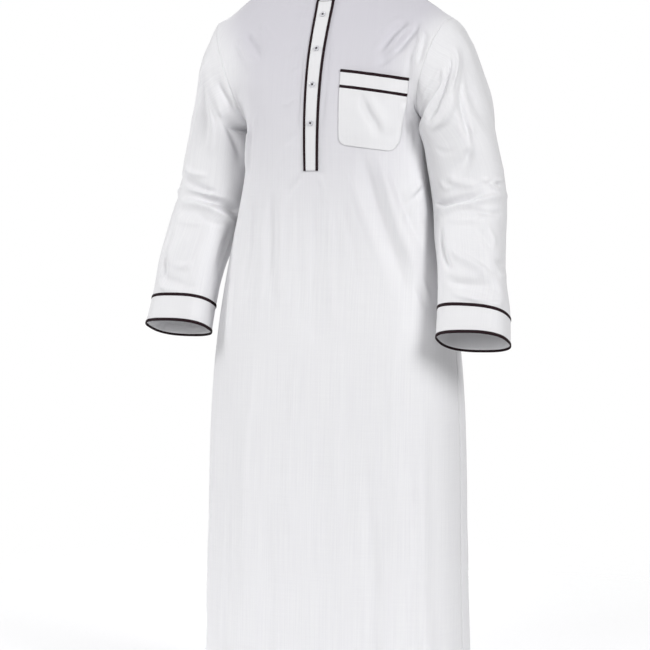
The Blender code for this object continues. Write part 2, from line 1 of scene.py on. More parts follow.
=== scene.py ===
"""A white thobe robe with dark piping in its worn shape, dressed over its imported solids.

Metres, +Z up. The front faces -Y and the wearer's left side is +X. The origin is the middle of the
neck opening, level with the points where the shoulder seams meet the collar.
"""

import logging
import math
from dataclasses import dataclass, field
from enum import Enum

import bmesh
import bpy
import numpy as np
from mathutils import Euler, Matrix, Vector, noise
from mathutils.bvhtree import BVHTree


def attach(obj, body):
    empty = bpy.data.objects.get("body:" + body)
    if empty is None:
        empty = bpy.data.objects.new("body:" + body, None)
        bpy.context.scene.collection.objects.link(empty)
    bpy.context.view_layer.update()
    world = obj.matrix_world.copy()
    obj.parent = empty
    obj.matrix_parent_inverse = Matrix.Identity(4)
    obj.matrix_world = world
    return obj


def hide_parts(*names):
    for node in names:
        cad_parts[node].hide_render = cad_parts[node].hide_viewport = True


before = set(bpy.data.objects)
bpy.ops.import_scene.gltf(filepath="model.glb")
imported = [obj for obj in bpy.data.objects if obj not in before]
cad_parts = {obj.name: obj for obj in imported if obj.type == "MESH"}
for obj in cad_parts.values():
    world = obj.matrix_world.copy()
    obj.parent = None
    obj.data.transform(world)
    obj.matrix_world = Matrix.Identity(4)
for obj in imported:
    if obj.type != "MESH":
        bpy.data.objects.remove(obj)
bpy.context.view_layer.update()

BODY = "root"
LOG = logging.getLogger("thobe")

Array = np.ndarray
Row = tuple[float, ...]
Pair = tuple[float, float]
Seam = tuple[Array, bool]
Piece = bpy.types.Object
Material = bpy.types.Material
Node = bpy.types.Node
NodeTree = bpy.types.NodeTree
Socket = bpy.types.NodeSocket
FLOAT, VECTOR = "NodeSocketFloat", "NodeSocketVector"
MIRROR = (-1, 1, 1)
FORWARD = Vector((0, 1, 0))
# where looks from the front start, well before the robe
VIEW_START = -1.0
# distance to a second point that shows how a surface lies
PROBE = 0.001
# how far stitches stand off the cloth
STITCH_LIFT = 0.00008


# Curves and grids


def hermite(at: Array, known: Array, values: Array) -> Array:
    """Values at given places on a smooth curve.

    Args:
        at: Places to read.
        known: Places of the known values, rising.
        values: Known values, one row for each place.

    Returns:
        One row of values for each place read.
    """
    known = np.asarray(known, float)
    values = np.asarray(values, float)
    slopes = np.gradient(values, known, axis=0)
    step = np.clip(np.searchsorted(known, at, side="right") - 1, 0, len(known) - 2)
    shape = np.shape(at) + (1,) * (values.ndim - 1)
    width = (known[step + 1] - known[step]).reshape(shape)
    u = (np.asarray(at) - known[step]).reshape(shape) / width
    start = values[step] * (2 * u**3 - 3 * u**2 + 1) + slopes[step] * width * (u**3 - 2 * u**2 + u)
    end = values[step + 1] * (3 * u**2 - 2 * u**3) + slopes[step + 1] * width * (u**3 - u**2)
    return start + end


def unit(vectors: Array) -> Array:
    """Vectors scaled to a length of 1."""
    return vectors / np.linalg.norm(vectors, axis=-1, keepdims=True)


def run_of(line: Array) -> Array:
    """Distance of each point of a line from its start, measured along it."""
    return np.concatenate([[0.0], np.cumsum(np.linalg.norm(np.diff(line, axis=0), axis=1))])


def by_length(curve: Array, fractions: Array) -> Array:
    """Points at the given fractions of a curve's length.

    Args:
        curve: Points along the curve.
        fractions: Shares of its length, from 0 to 1.

    Returns:
        One point for each fraction.
    """
    length = run_of(curve)
    at = np.asarray(fractions) * length[-1]
    return np.stack([np.interp(at, length, curve[:, axis]) for axis in range(3)], axis=1)


def oval(angle: Array, squareness: float) -> tuple[Array, Array]:
    """Sine and cosine of an angle, pushed out towards a rounded box.

    Args:
        angle: Angles in radians.
        squareness: 2 for an ellipse, more for a squarer form.

    Returns:
        The pushed sine and cosine.
    """
    power = 2 / squareness
    sine = np.sign(np.sin(angle)) * np.abs(np.sin(angle)) ** power
    cosine = np.sign(np.cos(angle)) * np.abs(np.cos(angle)) ** power
    return sine, cosine


def smooth(u: Array) -> Array:
    """A soft step from 0 to 1."""
    u = np.clip(u, 0, 1)
    return u * u * (3 - 2 * u)


def refine(grid: Array, rows: Array, columns: Array) -> Array:
    """A grid read smoothly between its points.

    Args:
        grid: Points by row and column.
        rows: Fractional rows to read.
        columns: Fractional columns to read.

    Returns:
        The finer grid.
    """
    for axis, at in ((0, rows), (1, columns)):
        knots = np.arange(grid.shape[axis], dtype=float)
        grid = np.moveaxis(hermite(at, knots, np.moveaxis(grid, axis, 0)), 0, axis)
    return grid


def normals_of(grid: Array, closed: bool = False) -> Array:
    """Unit normals of a grid, outward where its rows run up and its columns anticlockwise from above.

    Args:
        grid: Points by row and column.
        closed: Whether the columns go right round.

    Returns:
        One normal for each point.
    """
    if closed:
        beside = np.roll(grid, -1, axis=1) - np.roll(grid, 1, axis=1)
    else:
        beside = np.gradient(grid, axis=1)
    return unit(np.cross(beside, np.gradient(grid, axis=0)))


def raised(grid: Array, lift: Array | float, closed: bool = False) -> Array:
    """A grid moved out along its normals.

    Args:
        grid: Points by row and column.
        lift: How far each point moves.
        closed: Whether the columns go right round.

    Returns:
        The moved points.
    """
    return grid + normals_of(grid, closed) * np.asarray(lift)[..., None]


def lengths_along(grid: Array, axis: int, start: int) -> Array:
    """Distance along the rows or columns of a grid.

    Args:
        grid: Points by row and column.
        axis: 0 to measure from row to row, 1 from column to column.
        start: Index of the row or column where the distance is 0.

    Returns:
        A signed distance for each point.
    """
    gaps = np.linalg.norm(np.diff(grid, axis=axis), axis=2)
    pad = [(0, 0), (0, 0)]
    pad[axis] = (1, 0)
    length = np.cumsum(np.pad(gaps, pad), axis=axis)
    return length - np.take(length, [start], axis=axis)


# Folds


# a fold strays from its line in this many radians of a wave, by this share of its width
WANDER_TURNS = 7.0
WANDER = 0.22
WANDER_SEED = 900.0
# a fold starts narrower than it ends
START_WIDTH = 0.8
WIDTH_GROWTH = 0.4
# how fast a fold rises from its ends
END_STEEPNESS = 1.6
# distances round a sleeve are taken on a circle of this radius
SLEEVE_RADIUS = 0.065


@dataclass(frozen=True)
class Fold:
    """One soft ridge or trough along a bowed line on a piece of cloth.

    The bow is how far the line swings out half way, the width is half of the fold's own, and the flank
    is how much of the rise the cloth beside the fold gives back.
    """

    start_across: float
    start_along: float
    end_across: float
    end_along: float
    bow: float
    width: float
    rise: float
    skew: float = 0.0
    peak: float = 0.5
    flank: float = 0.5

    def lift(self, across: Array, along: Array) -> Array:
        """How far this fold lifts each point.

        Args:
            across: Places across the cloth.
            along: Places along it.

        Returns:
            The lift of each point, negative in a trough.
        """
        run = np.array([self.end_across - self.start_across, self.end_along - self.start_along])
        length = float(np.hypot(*run))
        first, second = across - self.start_across, along - self.start_along
        share = (first * run[0] + second * run[1]) / length**2
        off = (first * run[1] - second * run[0]) / length
        off = off - self.bow * 4 * share * (1 - share)
        off = off + WANDER * self.width * np.sin(WANDER_TURNS * share + self.width * WANDER_SEED)
        spread = START_WIDTH + WIDTH_GROWTH * np.clip(share, 0, 1)
        side = self.width * (1 + self.skew * np.sign(off)) * spread
        turned = np.where(share < self.peak, share / self.peak, (1 - share) / (1 - self.peak))
        ends = smooth(turned * END_STEEPNESS)
        t = (off / side) ** 2
        return self.rise * ends * (1 - self.flank * t) * np.exp(-t)


def metres(*millimetres: float) -> list[float]:
    """Lengths in metres."""
    return [round(length / 1000, 7) for length in millimetres]


def fold(*sizes: float, **more: float) -> Fold:
    """A fold with its ends, bow, half width and rise in millimetres."""
    return Fold(*metres(*sizes), **more)


def arm_fold(start_turn: float, start_down: float, end_turn: float, end_down: float,
             *sizes: float, **more: float) -> Fold:
    """A fold of a sleeve.

    Args:
        start_turn: Degrees round from the outer line at its start; 90 is the front.
        start_down: Millimetres down from the armhole at its start.
        end_turn: Degrees round at its end.
        end_down: Millimetres down at its end.
        sizes: Bow, half width and rise in millimetres.
        more: The fold's other fields.

    Returns:
        The fold.
    """
    start, end = (math.radians(turn) * SLEEVE_RADIUS for turn in (start_turn, end_turn))
    down, low, *rest = metres(start_down, end_down, *sizes)
    return Fold(start, down, end, low, *rest, **more)


def folded(folds: tuple[Fold, ...], across: Array, along: Array) -> Array:
    """The lift of all the folds together.

    Args:
        folds: The folds.
        across: Places across the cloth.
        along: Places along it.

    Returns:
        The summed lift of each point.
    """
    total = np.zeros_like(across)
    for fold in folds:
        total += fold.lift(across, along)
    return total


# fractal noise: how much each octave fades, how much finer it gets, and how many there are
RIPPLE_FADE = 0.9
RIPPLE_FINER = 2.1
RIPPLE_OCTAVES = 3


def ripple(across: Array, along: Array, stretch: Pair, seed: float) -> Array:
    """Uneven waves of about 1 in height over a piece of cloth.

    Args:
        across: Places across the cloth.
        along: Places along it.
        stretch: Rough length of a wave each way, in metres.
        seed: Shifts the pattern.

    Returns:
        The height of each point.
    """
    places = np.stack([across / stretch[0], along / stretch[1], np.full_like(across, seed)], axis=-1)
    flat = [noise.fractal(Vector(place), RIPPLE_FADE, RIPPLE_FINER, RIPPLE_OCTAVES)
            for place in places.reshape(-1, 3)]
    return np.array(flat).reshape(across.shape)


def seam_calm(distance: Array, reach: float) -> Array:
    """A factor that fades folds out towards a seam."""
    return smooth(distance / reach)


# The cut


class Side(Enum):
    """A half of the body, valued by its direction along Y."""

    FRONT = -1
    BACK = 1


@dataclass(frozen=True)
class Shoulder:
    """The outer end of a shoulder seam, as on the left, and how far the seam rounds up between its ends."""

    x: float
    y: float
    z: float
    rounding: float

    @property
    def point(self) -> Array:
        """The end as a point."""
        return np.array([self.x, self.y, self.z])


# the panels bend to meet their seams over this many coarse rows or columns
EDGE_REACH = 1.6
# a turn this close to an armhole's end counts as at the end
END_TURN = 1e-9


@dataclass(frozen=True)
class BodyCut:
    """Sizes of the body of the robe and the surfaces that they give."""

    hem: float = -1.42
    underarm: float = -0.295
    neck_half_width: float = 0.068
    neck_side_y: float = 0.003
    neck_dip: float = 1.3
    armhole_depth: float = 0.078
    armhole_fullness: float = 0.75
    armhole_lean: float = 1.3
    armhole_pull: float = 3.0
    top_pull: float = 1.5
    squareness: float = 2.5
    left_shoulder: Shoulder = Shoulder(0.235, 0.005, -0.108, 0.004)
    right_shoulder: Shoulder = Shoulder(0.247, 0.005, -0.092, 0.016)
    # height, half width at the side seam, depths of the front, sides and back
    sections: tuple[Row, ...] = (
        (-1.420, 0.262, -0.174, -0.011, 0.151),
        (-1.290, 0.257, -0.170, -0.010, 0.148),
        (-1.150, 0.254, -0.165, -0.010, 0.143),
        (-1.010, 0.253, -0.160, -0.010, 0.138),
        (-0.915, 0.252, -0.155, -0.010, 0.134),
        (-0.820, 0.249, -0.150, -0.009, 0.129),
        (-0.707, 0.240, -0.142, -0.007, 0.122),
        (-0.612, 0.227, -0.133, -0.005, 0.116),
        (-0.555, 0.217, -0.128, -0.004, 0.113),
        (-0.502, 0.206, -0.124, -0.003, 0.111),
        (-0.441, 0.192, -0.122, -0.002, 0.112),
        (-0.346, 0.184, -0.125, 0.000, 0.119),
        (-0.295, 0.180, -0.124, 0.000, 0.123),
    )
    # height and depth of the middle lines above the underarm, up to the neckline
    centre_front: tuple[Row, ...] = (
        (-0.295, -0.124), (-0.230, -0.116), (-0.162, -0.098), (-0.099, -0.071), (-0.070, -0.060),
    )
    centre_back: tuple[Row, ...] = (
        (-0.295, 0.123), (-0.200, 0.121), (-0.110, 0.108), (-0.045, 0.086), (-0.004, 0.066),
    )
    neck_columns: int = 5
    shoulder_columns: int = 8
    lower_rows: int = 20
    row_growth: float = 1.5
    upper_rows: int = 12
    relax_steps: int = 6
    relax_below: int = 4
    curve_steps: int = 240

    @property
    def half_columns(self) -> int:
        """Columns from the middle line to the side."""
        return self.neck_columns + self.shoulder_columns

    @property
    def neck_front(self) -> float:
        """Height of the neckline at the middle of the front."""
        return self.centre_front[-1][0]

    @property
    def drops(self) -> Array:
        """Shares of the way down from the underarm to the hem of the coarse rows, from the hem up."""
        return (np.arange(self.lower_rows, -1, -1) / self.lower_rows) ** self.row_growth

    @property
    def lower_heights(self) -> Array:
        """Heights of the coarse rows from the hem up to the underarm."""
        return self.underarm + (self.hem - self.underarm) * self.drops

    def middle_line(self, side: Side) -> tuple[Row, ...]:
        """Heights and depths of the front's or the back's middle line above the underarm."""
        return self.centre_front if side is Side.FRONT else self.centre_back

    def half_section(self, height: float, side: Side, fractions: Array) -> Array:
        """Half of a level section, from the middle line to the side seam.

        Args:
            height: Height of the section.
            side: Front or back.
            fractions: Shares of its length.

        Returns:
            One point for each share.
        """
        sections = np.array(self.sections)
        _, width, front, middle, back = hermite(np.array([height]), sections[:, 0], sections)[0]
        depth = (front if side is Side.FRONT else back) - middle
        sine, cosine = oval(np.linspace(0, np.pi / 2, self.curve_steps + 1), self.squareness)
        curve = np.stack([width * sine, middle + depth * cosine, np.full_like(sine, height)], axis=1)
        return by_length(curve, fractions)

    def armhole(self, side: Side, shoulder: Shoulder, rows: Array) -> Array:
        """The front or back edge of an armhole on the left, from the underarm up to the shoulder.

        Args:
            side: Front or back.
            shoulder: The shoulder that it reaches.
            rows: Shares of the way up.

        Returns:
            One point for each share.
        """
        turn = np.pi * np.asarray(rows)
        lift = (1 - np.cos(turn)) / 2
        width = self.sections[-1][1]
        bulge = np.abs(np.sin(turn)) ** self.armhole_fullness
        bulge = np.where((turn < END_TURN) | (turn > np.pi - END_TURN), 0.0, bulge)
        x = width + (shoulder.x - width) * lift**self.armhole_lean
        y = shoulder.y * lift + side.value * self.armhole_depth * bulge
        z = self.underarm + (shoulder.z - self.underarm) * lift
        return np.stack([x, y, z], axis=1)

    def half_neckline(self, side: Side, fractions: Array) -> Array:
        """Half of the neckline, from the middle line to the top of the shoulder seam.

        Args:
            side: Front or back.
            fractions: Shares of its length.

        Returns:
            One point for each share.
        """
        height, depth = self.middle_line(side)[-1]
        angle = np.linspace(0, np.pi / 2, self.curve_steps + 1)
        x = self.neck_half_width * np.sin(angle)
        y = self.neck_side_y + (depth - self.neck_side_y) * np.cos(angle)
        z = height * np.abs(np.cos(angle)) ** self.neck_dip
        curve = np.stack([x, y, z], axis=1)
        curve[-1] = (self.neck_half_width, self.neck_side_y, 0.0)
        return by_length(curve, fractions)

    def half_top(self, side: Side, shoulder: Shoulder, columns: Array) -> Array:
        """The neckline and then the shoulder seam.

        Args:
            side: Front or back.
            shoulder: The shoulder that it reaches.
            columns: Fractional columns out from the middle line.

        Returns:
            One point for each column.
        """
        neck = self.half_neckline(side, np.clip(columns / self.neck_columns, 0, 1))
        share = np.clip((columns - self.neck_columns) / self.shoulder_columns, 0, 1)[:, None]
        end = np.array([self.neck_half_width, self.neck_side_y, 0.0])
        seam = end + (shoulder.point - end) * share
        seam[:, 2:] += shoulder.rounding * np.sin(np.pi * share)
        return np.where(columns[:, None] <= self.neck_columns, neck, seam)

    def half_shoulder(self, side: Side, shoulder: Shoulder) -> Array:
        """The half panel above the underarm, spanned between its four edges.

        Args:
            side: Front or back.
            shoulder: The shoulder that it reaches.

        Returns:
            Points by row and column.
        """
        rows = np.linspace(0, 1, self.upper_rows + 1)
        across = np.linspace(0, 1, self.half_columns + 1)
        foot = self.half_section(self.underarm, side, across)
        top = self.half_top(side, shoulder, across * self.half_columns)
        heights, depths = np.array(self.middle_line(side)).T
        middle_z = heights[0] + (heights[-1] - heights[0]) * rows
        middle = np.stack([0 * rows, hermite(middle_z, heights, depths), middle_z], axis=1)
        edge = self.armhole(side, shoulder, rows)
        outward = (across**self.armhole_pull)[None, :, None]
        slow = rows**self.top_pull
        rise = np.stack([slow, 1 - np.sqrt(1 - rows**2), slow], axis=1)[:, None, :]
        sides = middle[:, None] * (1 - outward) + edge[:, None] * outward
        foot_part = foot[None] - (foot[0] * (1 - outward) + foot[-1] * outward)
        top_part = top[None] - (top[0] * (1 - outward) + top[-1] * outward)
        return sides + foot_part * (1 - rise) + top_part * rise

    def coarse_panel(self, side: Side) -> Array:
        """The whole front or back: rows from the hem up, columns from right to left.

        Args:
            side: Front or back.

        Returns:
            Points by row and column.
        """
        across = np.linspace(0, 1, self.half_columns + 1)
        lower = np.array([self.half_section(height, side, across) for height in self.lower_heights[:-1]])
        left = np.concatenate([lower, self.half_shoulder(side, self.left_shoulder)])
        right = np.concatenate([lower, self.half_shoulder(side, self.right_shoulder)])
        grid = np.concatenate([right[:, :0:-1] * MIRROR, left], axis=1)
        lowest = self.lower_rows - self.relax_below
        for _ in range(self.relax_steps):
            beside = grid[1:-1, :-2] + grid[1:-1, 2:] + grid[:-2, 1:-1] + grid[2:, 1:-1]
            grid[lowest:-1, 1:-1] = (beside / 4)[lowest - 1 :]
        return grid

    def fine_rows(self, lower_count: int, upper_count: int) -> Array:
        """Fractional rows of the coarse panel, evenly spaced down the skirt and up the chest.

        Args:
            lower_count: Spaces below the underarm.
            upper_count: Spaces above it.

        Returns:
            The fractional rows.
        """
        even = np.linspace(0, 1, lower_count + 1)
        lower = np.interp(even, 1 - self.drops, np.arange(self.lower_rows + 1))
        upper = self.lower_rows + np.linspace(0, self.upper_rows, upper_count + 1)[1:]
        return np.concatenate([lower, upper])

    def panel(self, side: Side, rows: Array, columns: Array) -> Array:
        """The front or back at fractional rows and columns, true to its seams.

        Args:
            side: Front or back.
            rows: Fractional rows.
            columns: Fractional columns, from right to left.

        Returns:
            Points by row and column.
        """
        grid = refine(self.coarse_panel(side), rows, columns)
        outer = np.abs(columns - self.half_columns)
        for edge, shoulder, mirror in ((0, self.right_shoulder, -1), (-1, self.left_shoulder, 1)):
            share = np.clip((rows - self.lower_rows) / self.upper_rows, 0, 1)
            exact = self.armhole(side, shoulder, share)
            for row in np.flatnonzero(rows < self.lower_rows):
                height = float(hermite(rows[row], np.arange(self.lower_rows + 1.0), self.lower_heights))
                exact[row] = self.half_section(height, side, np.array([1.0]))[0]
            exact = exact * (mirror, 1, 1)
            reach = np.clip(1 - np.abs(columns - columns[edge]) / EDGE_REACH, 0, 1) ** 2
            grid = grid + (exact - grid[:, edge])[:, None] * reach[None, :, None]
        for shoulder, mirror in ((self.right_shoulder, -1), (self.left_shoulder, 1)):
            chosen = (columns >= self.half_columns) == (mirror > 0)
            exact = self.half_top(side, shoulder, outer[chosen]) * (mirror, 1, 1)
            reach = np.clip(1 - np.abs(rows - rows[-1]) / EDGE_REACH, 0, 1) ** 2
            grid[:, chosen] += (exact - grid[-1, chosen])[None] * reach[:, None, None]
        return grid


@dataclass(frozen=True)
class SleeveCut:
    """Sizes of one sleeve, as on the left side, and the tube that they give."""

    side_name: str
    mirror: int
    shoulder: Shoulder
    # x, y, z, half width, half depth, and in degrees roll (outer side up), yaw (outer side back)
    # and pitch (lower end forward)
    sections: tuple[Row, ...]
    squareness: float = 2.6
    cuff_height: float = 0.052
    piping_width: float = 0.004

    def ring_at(self, turns: Array) -> Array:
        """Points round each section, from the inside past the front.

        Args:
            turns: Angles round the section.

        Returns:
            Points by section and angle.
        """
        rings = []
        for x, y, z, half_width, half_depth, roll, yaw, pitch in self.sections:
            turn = Euler(np.radians([-pitch, -roll, 0.0]), "XYZ").to_matrix()
            turn = Matrix.Rotation(np.radians(yaw), 3, "Z") @ turn
            out = np.array(turn @ Vector((1, 0, 0)))
            front = np.array(turn @ Vector((0, -1, 0)))
            sine, cosine = oval(turns, self.squareness)
            centre = np.array([x, y, z])
            rings.append(centre - out * half_width * cosine[:, None] + front * half_depth * sine[:, None])
        return np.array(rings)

    def tube(self, body: BodyCut, finer: int) -> tuple[Array, Array]:
        """The rings that the sleeve runs through, and how far down each lies.

        Args:
            body: The body's cut, for its armhole.
            finer: How many points stand between two of the coarse ones.

        Returns:
            Distances down from the armhole, and points by ring and angle.
        """
        rings = self.rings(body, finer)
        return run_of(self.rings(body, 1).mean(axis=1)), rings

    def rings(self, body: BodyCut, finer: int) -> Array:
        """The armhole and then each section, with the same count of points.

        Args:
            body: The body's cut, for its armhole.
            finer: How many points stand between two of the coarse ones.

        Returns:
            Points by ring and angle.
        """
        rows = np.linspace(0, 1, body.upper_rows * finer + 1)
        front = body.armhole(Side.FRONT, self.shoulder, rows)
        back = body.armhole(Side.BACK, self.shoulder, rows)
        turns = np.concatenate([np.pi * rows, np.pi * (2 - rows[-2:0:-1])])
        return np.concatenate([np.concatenate([front, back[-2:0:-1]])[None], self.ring_at(turns)])


# Meshes


def grid_faces(rows: int, columns: int, closed: bool) -> list[tuple[int, int, int, int]]:
    """Four-sided faces of a grid of points.

    Args:
        rows: Rows of points.
        columns: Columns of points.
        closed: Whether the columns go right round.

    Returns:
        The corners of each face.
    """
    faces = []
    for row in range(rows - 1):
        for column in range(columns if closed else columns - 1):
            beside = (column + 1) % columns
            low, high = row * columns, (row + 1) * columns
            faces.append((low + column, low + beside, high + beside, high + column))
    return faces


def new_object(name: str, data: bpy.types.ID) -> Piece:
    """Puts data into the scene as an object.

    Args:
        name: Name of the object.
        data: What it shows.

    Returns:
        The new object.
    """
    made = bpy.data.objects.new(name, data)
    bpy.context.scene.collection.objects.link(made)
    return made


def grid_object(name: str, grid: Array, closed: bool, place: Array,
                material: Material) -> Piece:
    """A smooth mesh through a grid, with a map of its place on the flat cloth in metres.

    Args:
        name: Name of the piece.
        grid: Points by row and column.
        closed: Whether the columns go right round.
        place: Place of each point on the flat cloth, with one more column where the grid is closed.
        material: The finish.

    Returns:
        The new object.
    """
    rows, columns = grid.shape[:2]
    mesh = bpy.data.meshes.new(name)
    mesh.from_pydata(grid.reshape(-1, 3).tolist(), [], grid_faces(rows, columns, closed))
    layer = mesh.uv_layers.new(name="cloth")
    last = columns if closed else columns - 1
    low, high = place[:-1], place[1:]
    corner = np.stack([low[:, :last], low[:, 1 : last + 1], high[:, 1 : last + 1], high[:, :last]], axis=2)
    layer.data.foreach_set("uv", corner.reshape(-1).astype(np.float32))
    mesh.shade_smooth()
    mesh.materials.append(material)
    return new_object(name, mesh)


# a swept strip's section: how many sides it has and how square it is
STRIP_SIDES = 12
STRIP_SQUARENESS = 2.8
# points closer than this are joined
WELD = 0.00002
# width and height of the piping; the cuffs and the pocket have the wide one
PIPING_SIZE = (0.0052, 0.0026)
WIDE_PIPING_SIZE = (0.0060, 0.0026)


def sweep(name: str, path: Array, normals: Array, size: Pair, closed: bool,
          material: Material, lift: float = 0.0) -> Piece:
    """A rounded strip along a path on a surface.

    Args:
        name: Name of the piece.
        path: Points along its middle.
        normals: The surface's normal at each point.
        size: Width along the surface and height over it.
        closed: Whether the path goes right round.
        material: The finish.
        lift: How far its middle stands off the path.

    Returns:
        The new object.
    """
    if closed:
        run = np.roll(path, -1, axis=0) - np.roll(path, 1, axis=0)
    else:
        run = np.gradient(path, axis=0)
    run = unit(run)
    beside = unit(np.cross(run, normals))
    over = np.cross(beside, run)
    sine, cosine = oval(np.linspace(0, 2 * np.pi, STRIP_SIDES, endpoint=False), STRIP_SQUARENESS)
    rings = (path[:, None] + beside[:, None] * (cosine * size[0] / 2)[None, :, None]
             + over[:, None] * (sine * size[1] / 2 + lift)[None, :, None])
    length = run_of(path)
    rows = np.concatenate([rings, rings[:1]]) if closed else rings
    if closed:
        length = np.append(length, length[-1] + np.linalg.norm(path[0] - path[-1]))
    girth = np.linspace(0, 2 * (size[0] + size[1]), STRIP_SIDES + 1)
    place = np.stack(np.meshgrid(girth, length), axis=-1)
    piece = grid_object(name, rows, True, place, material)
    mesh = piece.data
    work = bmesh.new()
    work.from_mesh(mesh)
    if closed:
        bmesh.ops.remove_doubles(work, verts=work.verts, dist=WELD)
    else:
        bmesh.ops.holes_fill(work, edges=[edge for edge in work.edges if edge.is_boundary])
    bmesh.ops.recalc_face_normals(work, faces=work.faces)
    work.to_mesh(mesh)
    work.free()
    mesh.shade_smooth()
    return piece


def finish_piece(piece: Piece, slot: str, *nodes: str) -> None:
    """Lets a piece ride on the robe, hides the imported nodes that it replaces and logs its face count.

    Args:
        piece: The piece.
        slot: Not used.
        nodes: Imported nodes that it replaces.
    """
    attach(piece, BODY)
    if nodes:
        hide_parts(*nodes)
    LOG.info("%s: %d faces", piece.name, len(piece.data.polygons))


def finish_cloth(piece: Piece, thickness: float, *nodes: str, offset: float = -1.0) -> None:
    """Gives an open surface of white cloth its thickness and finishes it.

    Args:
        piece: The surface.
        thickness: How thick it gets.
        nodes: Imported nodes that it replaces.
        offset: -1 to grow inward, 1 to grow outward.
    """
    solidify = piece.modifiers.new("cloth thickness", "SOLIDIFY")
    solidify.thickness = thickness
    solidify.offset = offset
    solidify.use_even_offset = False
    finish_piece(piece, "white_cotton", *nodes)


# Finishes


class Nodes:
    """Short calls to build a node tree."""

    def __init__(self, tree: NodeTree) -> None:
        """Starts on a tree."""
        self.tree = tree

    def add(self, kind: str, settings: dict | None = None, **inputs: object) -> Node:
        """Adds a node.

        Args:
            kind: The node's type.
            settings: Properties of the node.
            inputs: Values or sockets, by number as in0, or by name with underscores for spaces.

        Returns:
            The node.
        """
        node = self.tree.nodes.new(kind)
        for key, value in (settings or {}).items():
            setattr(node, key, value)
        for key, value in inputs.items():
            numbered = key.startswith("in") and key[2:].isdigit()
            self.feed(node.inputs[int(key[2:]) if numbered else key.replace("_", " ")], value)
        return node

    def feed(self, socket: Socket, given: object) -> None:
        """Links a socket to an input, or sets the input's value.

        Args:
            socket: The input.
            given: The socket to link or the value to set.
        """
        if isinstance(given, Socket):
            self.tree.links.new(given, socket)
        else:
            socket.default_value = given

    def math(self, operation: str, first: object, second: object = 0.0) -> Socket:
        """A Math node's value.

        Args:
            operation: What it works out.
            first: First value or socket.
            second: Second value or socket.

        Returns:
            The output socket.
        """
        return self.add("ShaderNodeMath", {"operation": operation}, in0=first, in1=second).outputs[0]

    def ramp(self, value: object, low: float, high: float, start: float = 0.0,
             end: float = 1.0) -> Socket:
        """A value taken smoothly from one range to another.

        Args:
            value: The value or socket.
            low: Where the range starts.
            high: Where it ends.
            start: What the low end gives.
            end: What the high end gives.

        Returns:
            The output socket.
        """
        node = self.add("ShaderNodeMapRange", {"interpolation_type": "SMOOTHSTEP"})
        for socket, given in zip(node.inputs, (value, low, high, start, end)):
            self.feed(socket, given)
        return node.outputs[0]

    def mix(self, share: object, first: object, second: object) -> Socket:
        """A mix of two colours.

        Args:
            share: Share of the second.
            first: First colour or socket.
            second: Second colour or socket.

        Returns:
            The output socket.
        """
        node = self.add("ShaderNodeMix", {"data_type": "RGBA"})
        for index, given in ((0, share), (6, first), (7, second)):
            self.feed(node.inputs[index], given)
        return node.outputs[2]


def new_group(name: str, inputs: dict[str, tuple[str, object]],
              outputs: dict[str, str]) -> tuple[Nodes, dict, Node]:
    """An empty shader node group with named sockets.

    Args:
        name: Name of the group.
        inputs: Each input's socket type and starting value.
        outputs: Each output's socket type.

    Returns:
        The builder, the input sockets by name, and the output node.
    """
    tree = bpy.data.node_groups.new(name, "ShaderNodeTree")
    for key, (kind, value) in inputs.items():
        socket = tree.interface.new_socket(key, in_out="INPUT", socket_type=kind)
        if value is not None:
            socket.default_value = value
    for key, kind in outputs.items():
        tree.interface.new_socket(key, in_out="OUTPUT", socket_type=kind)
    nodes = Nodes(tree)
    entry = tree.nodes.new("NodeGroupInput")
    return nodes, {key: entry.outputs[key] for key in inputs}, tree.nodes.new("NodeGroupOutput")


def new_material(name: str) -> tuple[Material, Nodes, Node]:
    """An empty finish.

    Args:
        name: Name of the finish.

    Returns:
        The material, the builder of its nodes, and its shader.
    """
    material = bpy.data.materials.new(name)
    material.use_nodes = True
    return material, Nodes(material.node_tree), material.node_tree.nodes["Principled BSDF"]


def weave_group() -> NodeTree:
    """A plain weave: threads that pass over and under each other, and slubs along them.

    Returns:
        The node group.
    """
    inputs = {"Place": (VECTOR, None), "Threads": (FLOAT, 2400.0), "Slub": (FLOAT, 0.5)}
    nodes, given, out = new_group("plain weave", inputs, {"Height": FLOAT, "Shade": FLOAT})
    scaled = nodes.add("ShaderNodeVectorMath", {"operation": "SCALE"}, in0=given["Place"],
                       Scale=given["Threads"])
    split = nodes.add("ShaderNodeSeparateXYZ", in0=scaled.outputs[0])
    over = nodes.math("ADD", nodes.math("FLOOR", split.outputs[0]), nodes.math("FLOOR", split.outputs[1]))
    over = nodes.math("PINGPONG", over, 1.0)
    turns = [nodes.math("MULTIPLY", split.outputs[way], math.pi) for way in (0, 1)]
    warp, weft = (nodes.math("ABSOLUTE", nodes.math("SINE", turn)) for turn in turns)
    threads = nodes.math("ADD", nodes.math("MULTIPLY", warp, over),
                         nodes.math("MULTIPLY", weft, nodes.math("SUBTRACT", 1.0, over)))
    streaks = []
    # thick places run along the threads both ways, more strongly down the cloth
    for stretch, strength in (((420.0, 7.0, 1.0), 1.0), ((12.0, 700.0, 1.0), 0.45)):
        place = nodes.add("ShaderNodeMapping", Vector=given["Place"], Scale=stretch).outputs[0]
        streak = nodes.add("ShaderNodeTexNoise", Vector=place, Scale=1.0, Detail=2.0).outputs[0]
        streaks.append(nodes.math("MULTIPLY", nodes.math("SUBTRACT", streak, 0.5), strength))
    slub = nodes.math("MULTIPLY", nodes.math("ADD", *streaks), given["Slub"])
    nodes.tree.links.new(nodes.math("ADD", threads, slub), out.inputs["Height"])
    nodes.tree.links.new(nodes.math("ADD", 0.5, slub), out.inputs["Shade"])
    return nodes.tree


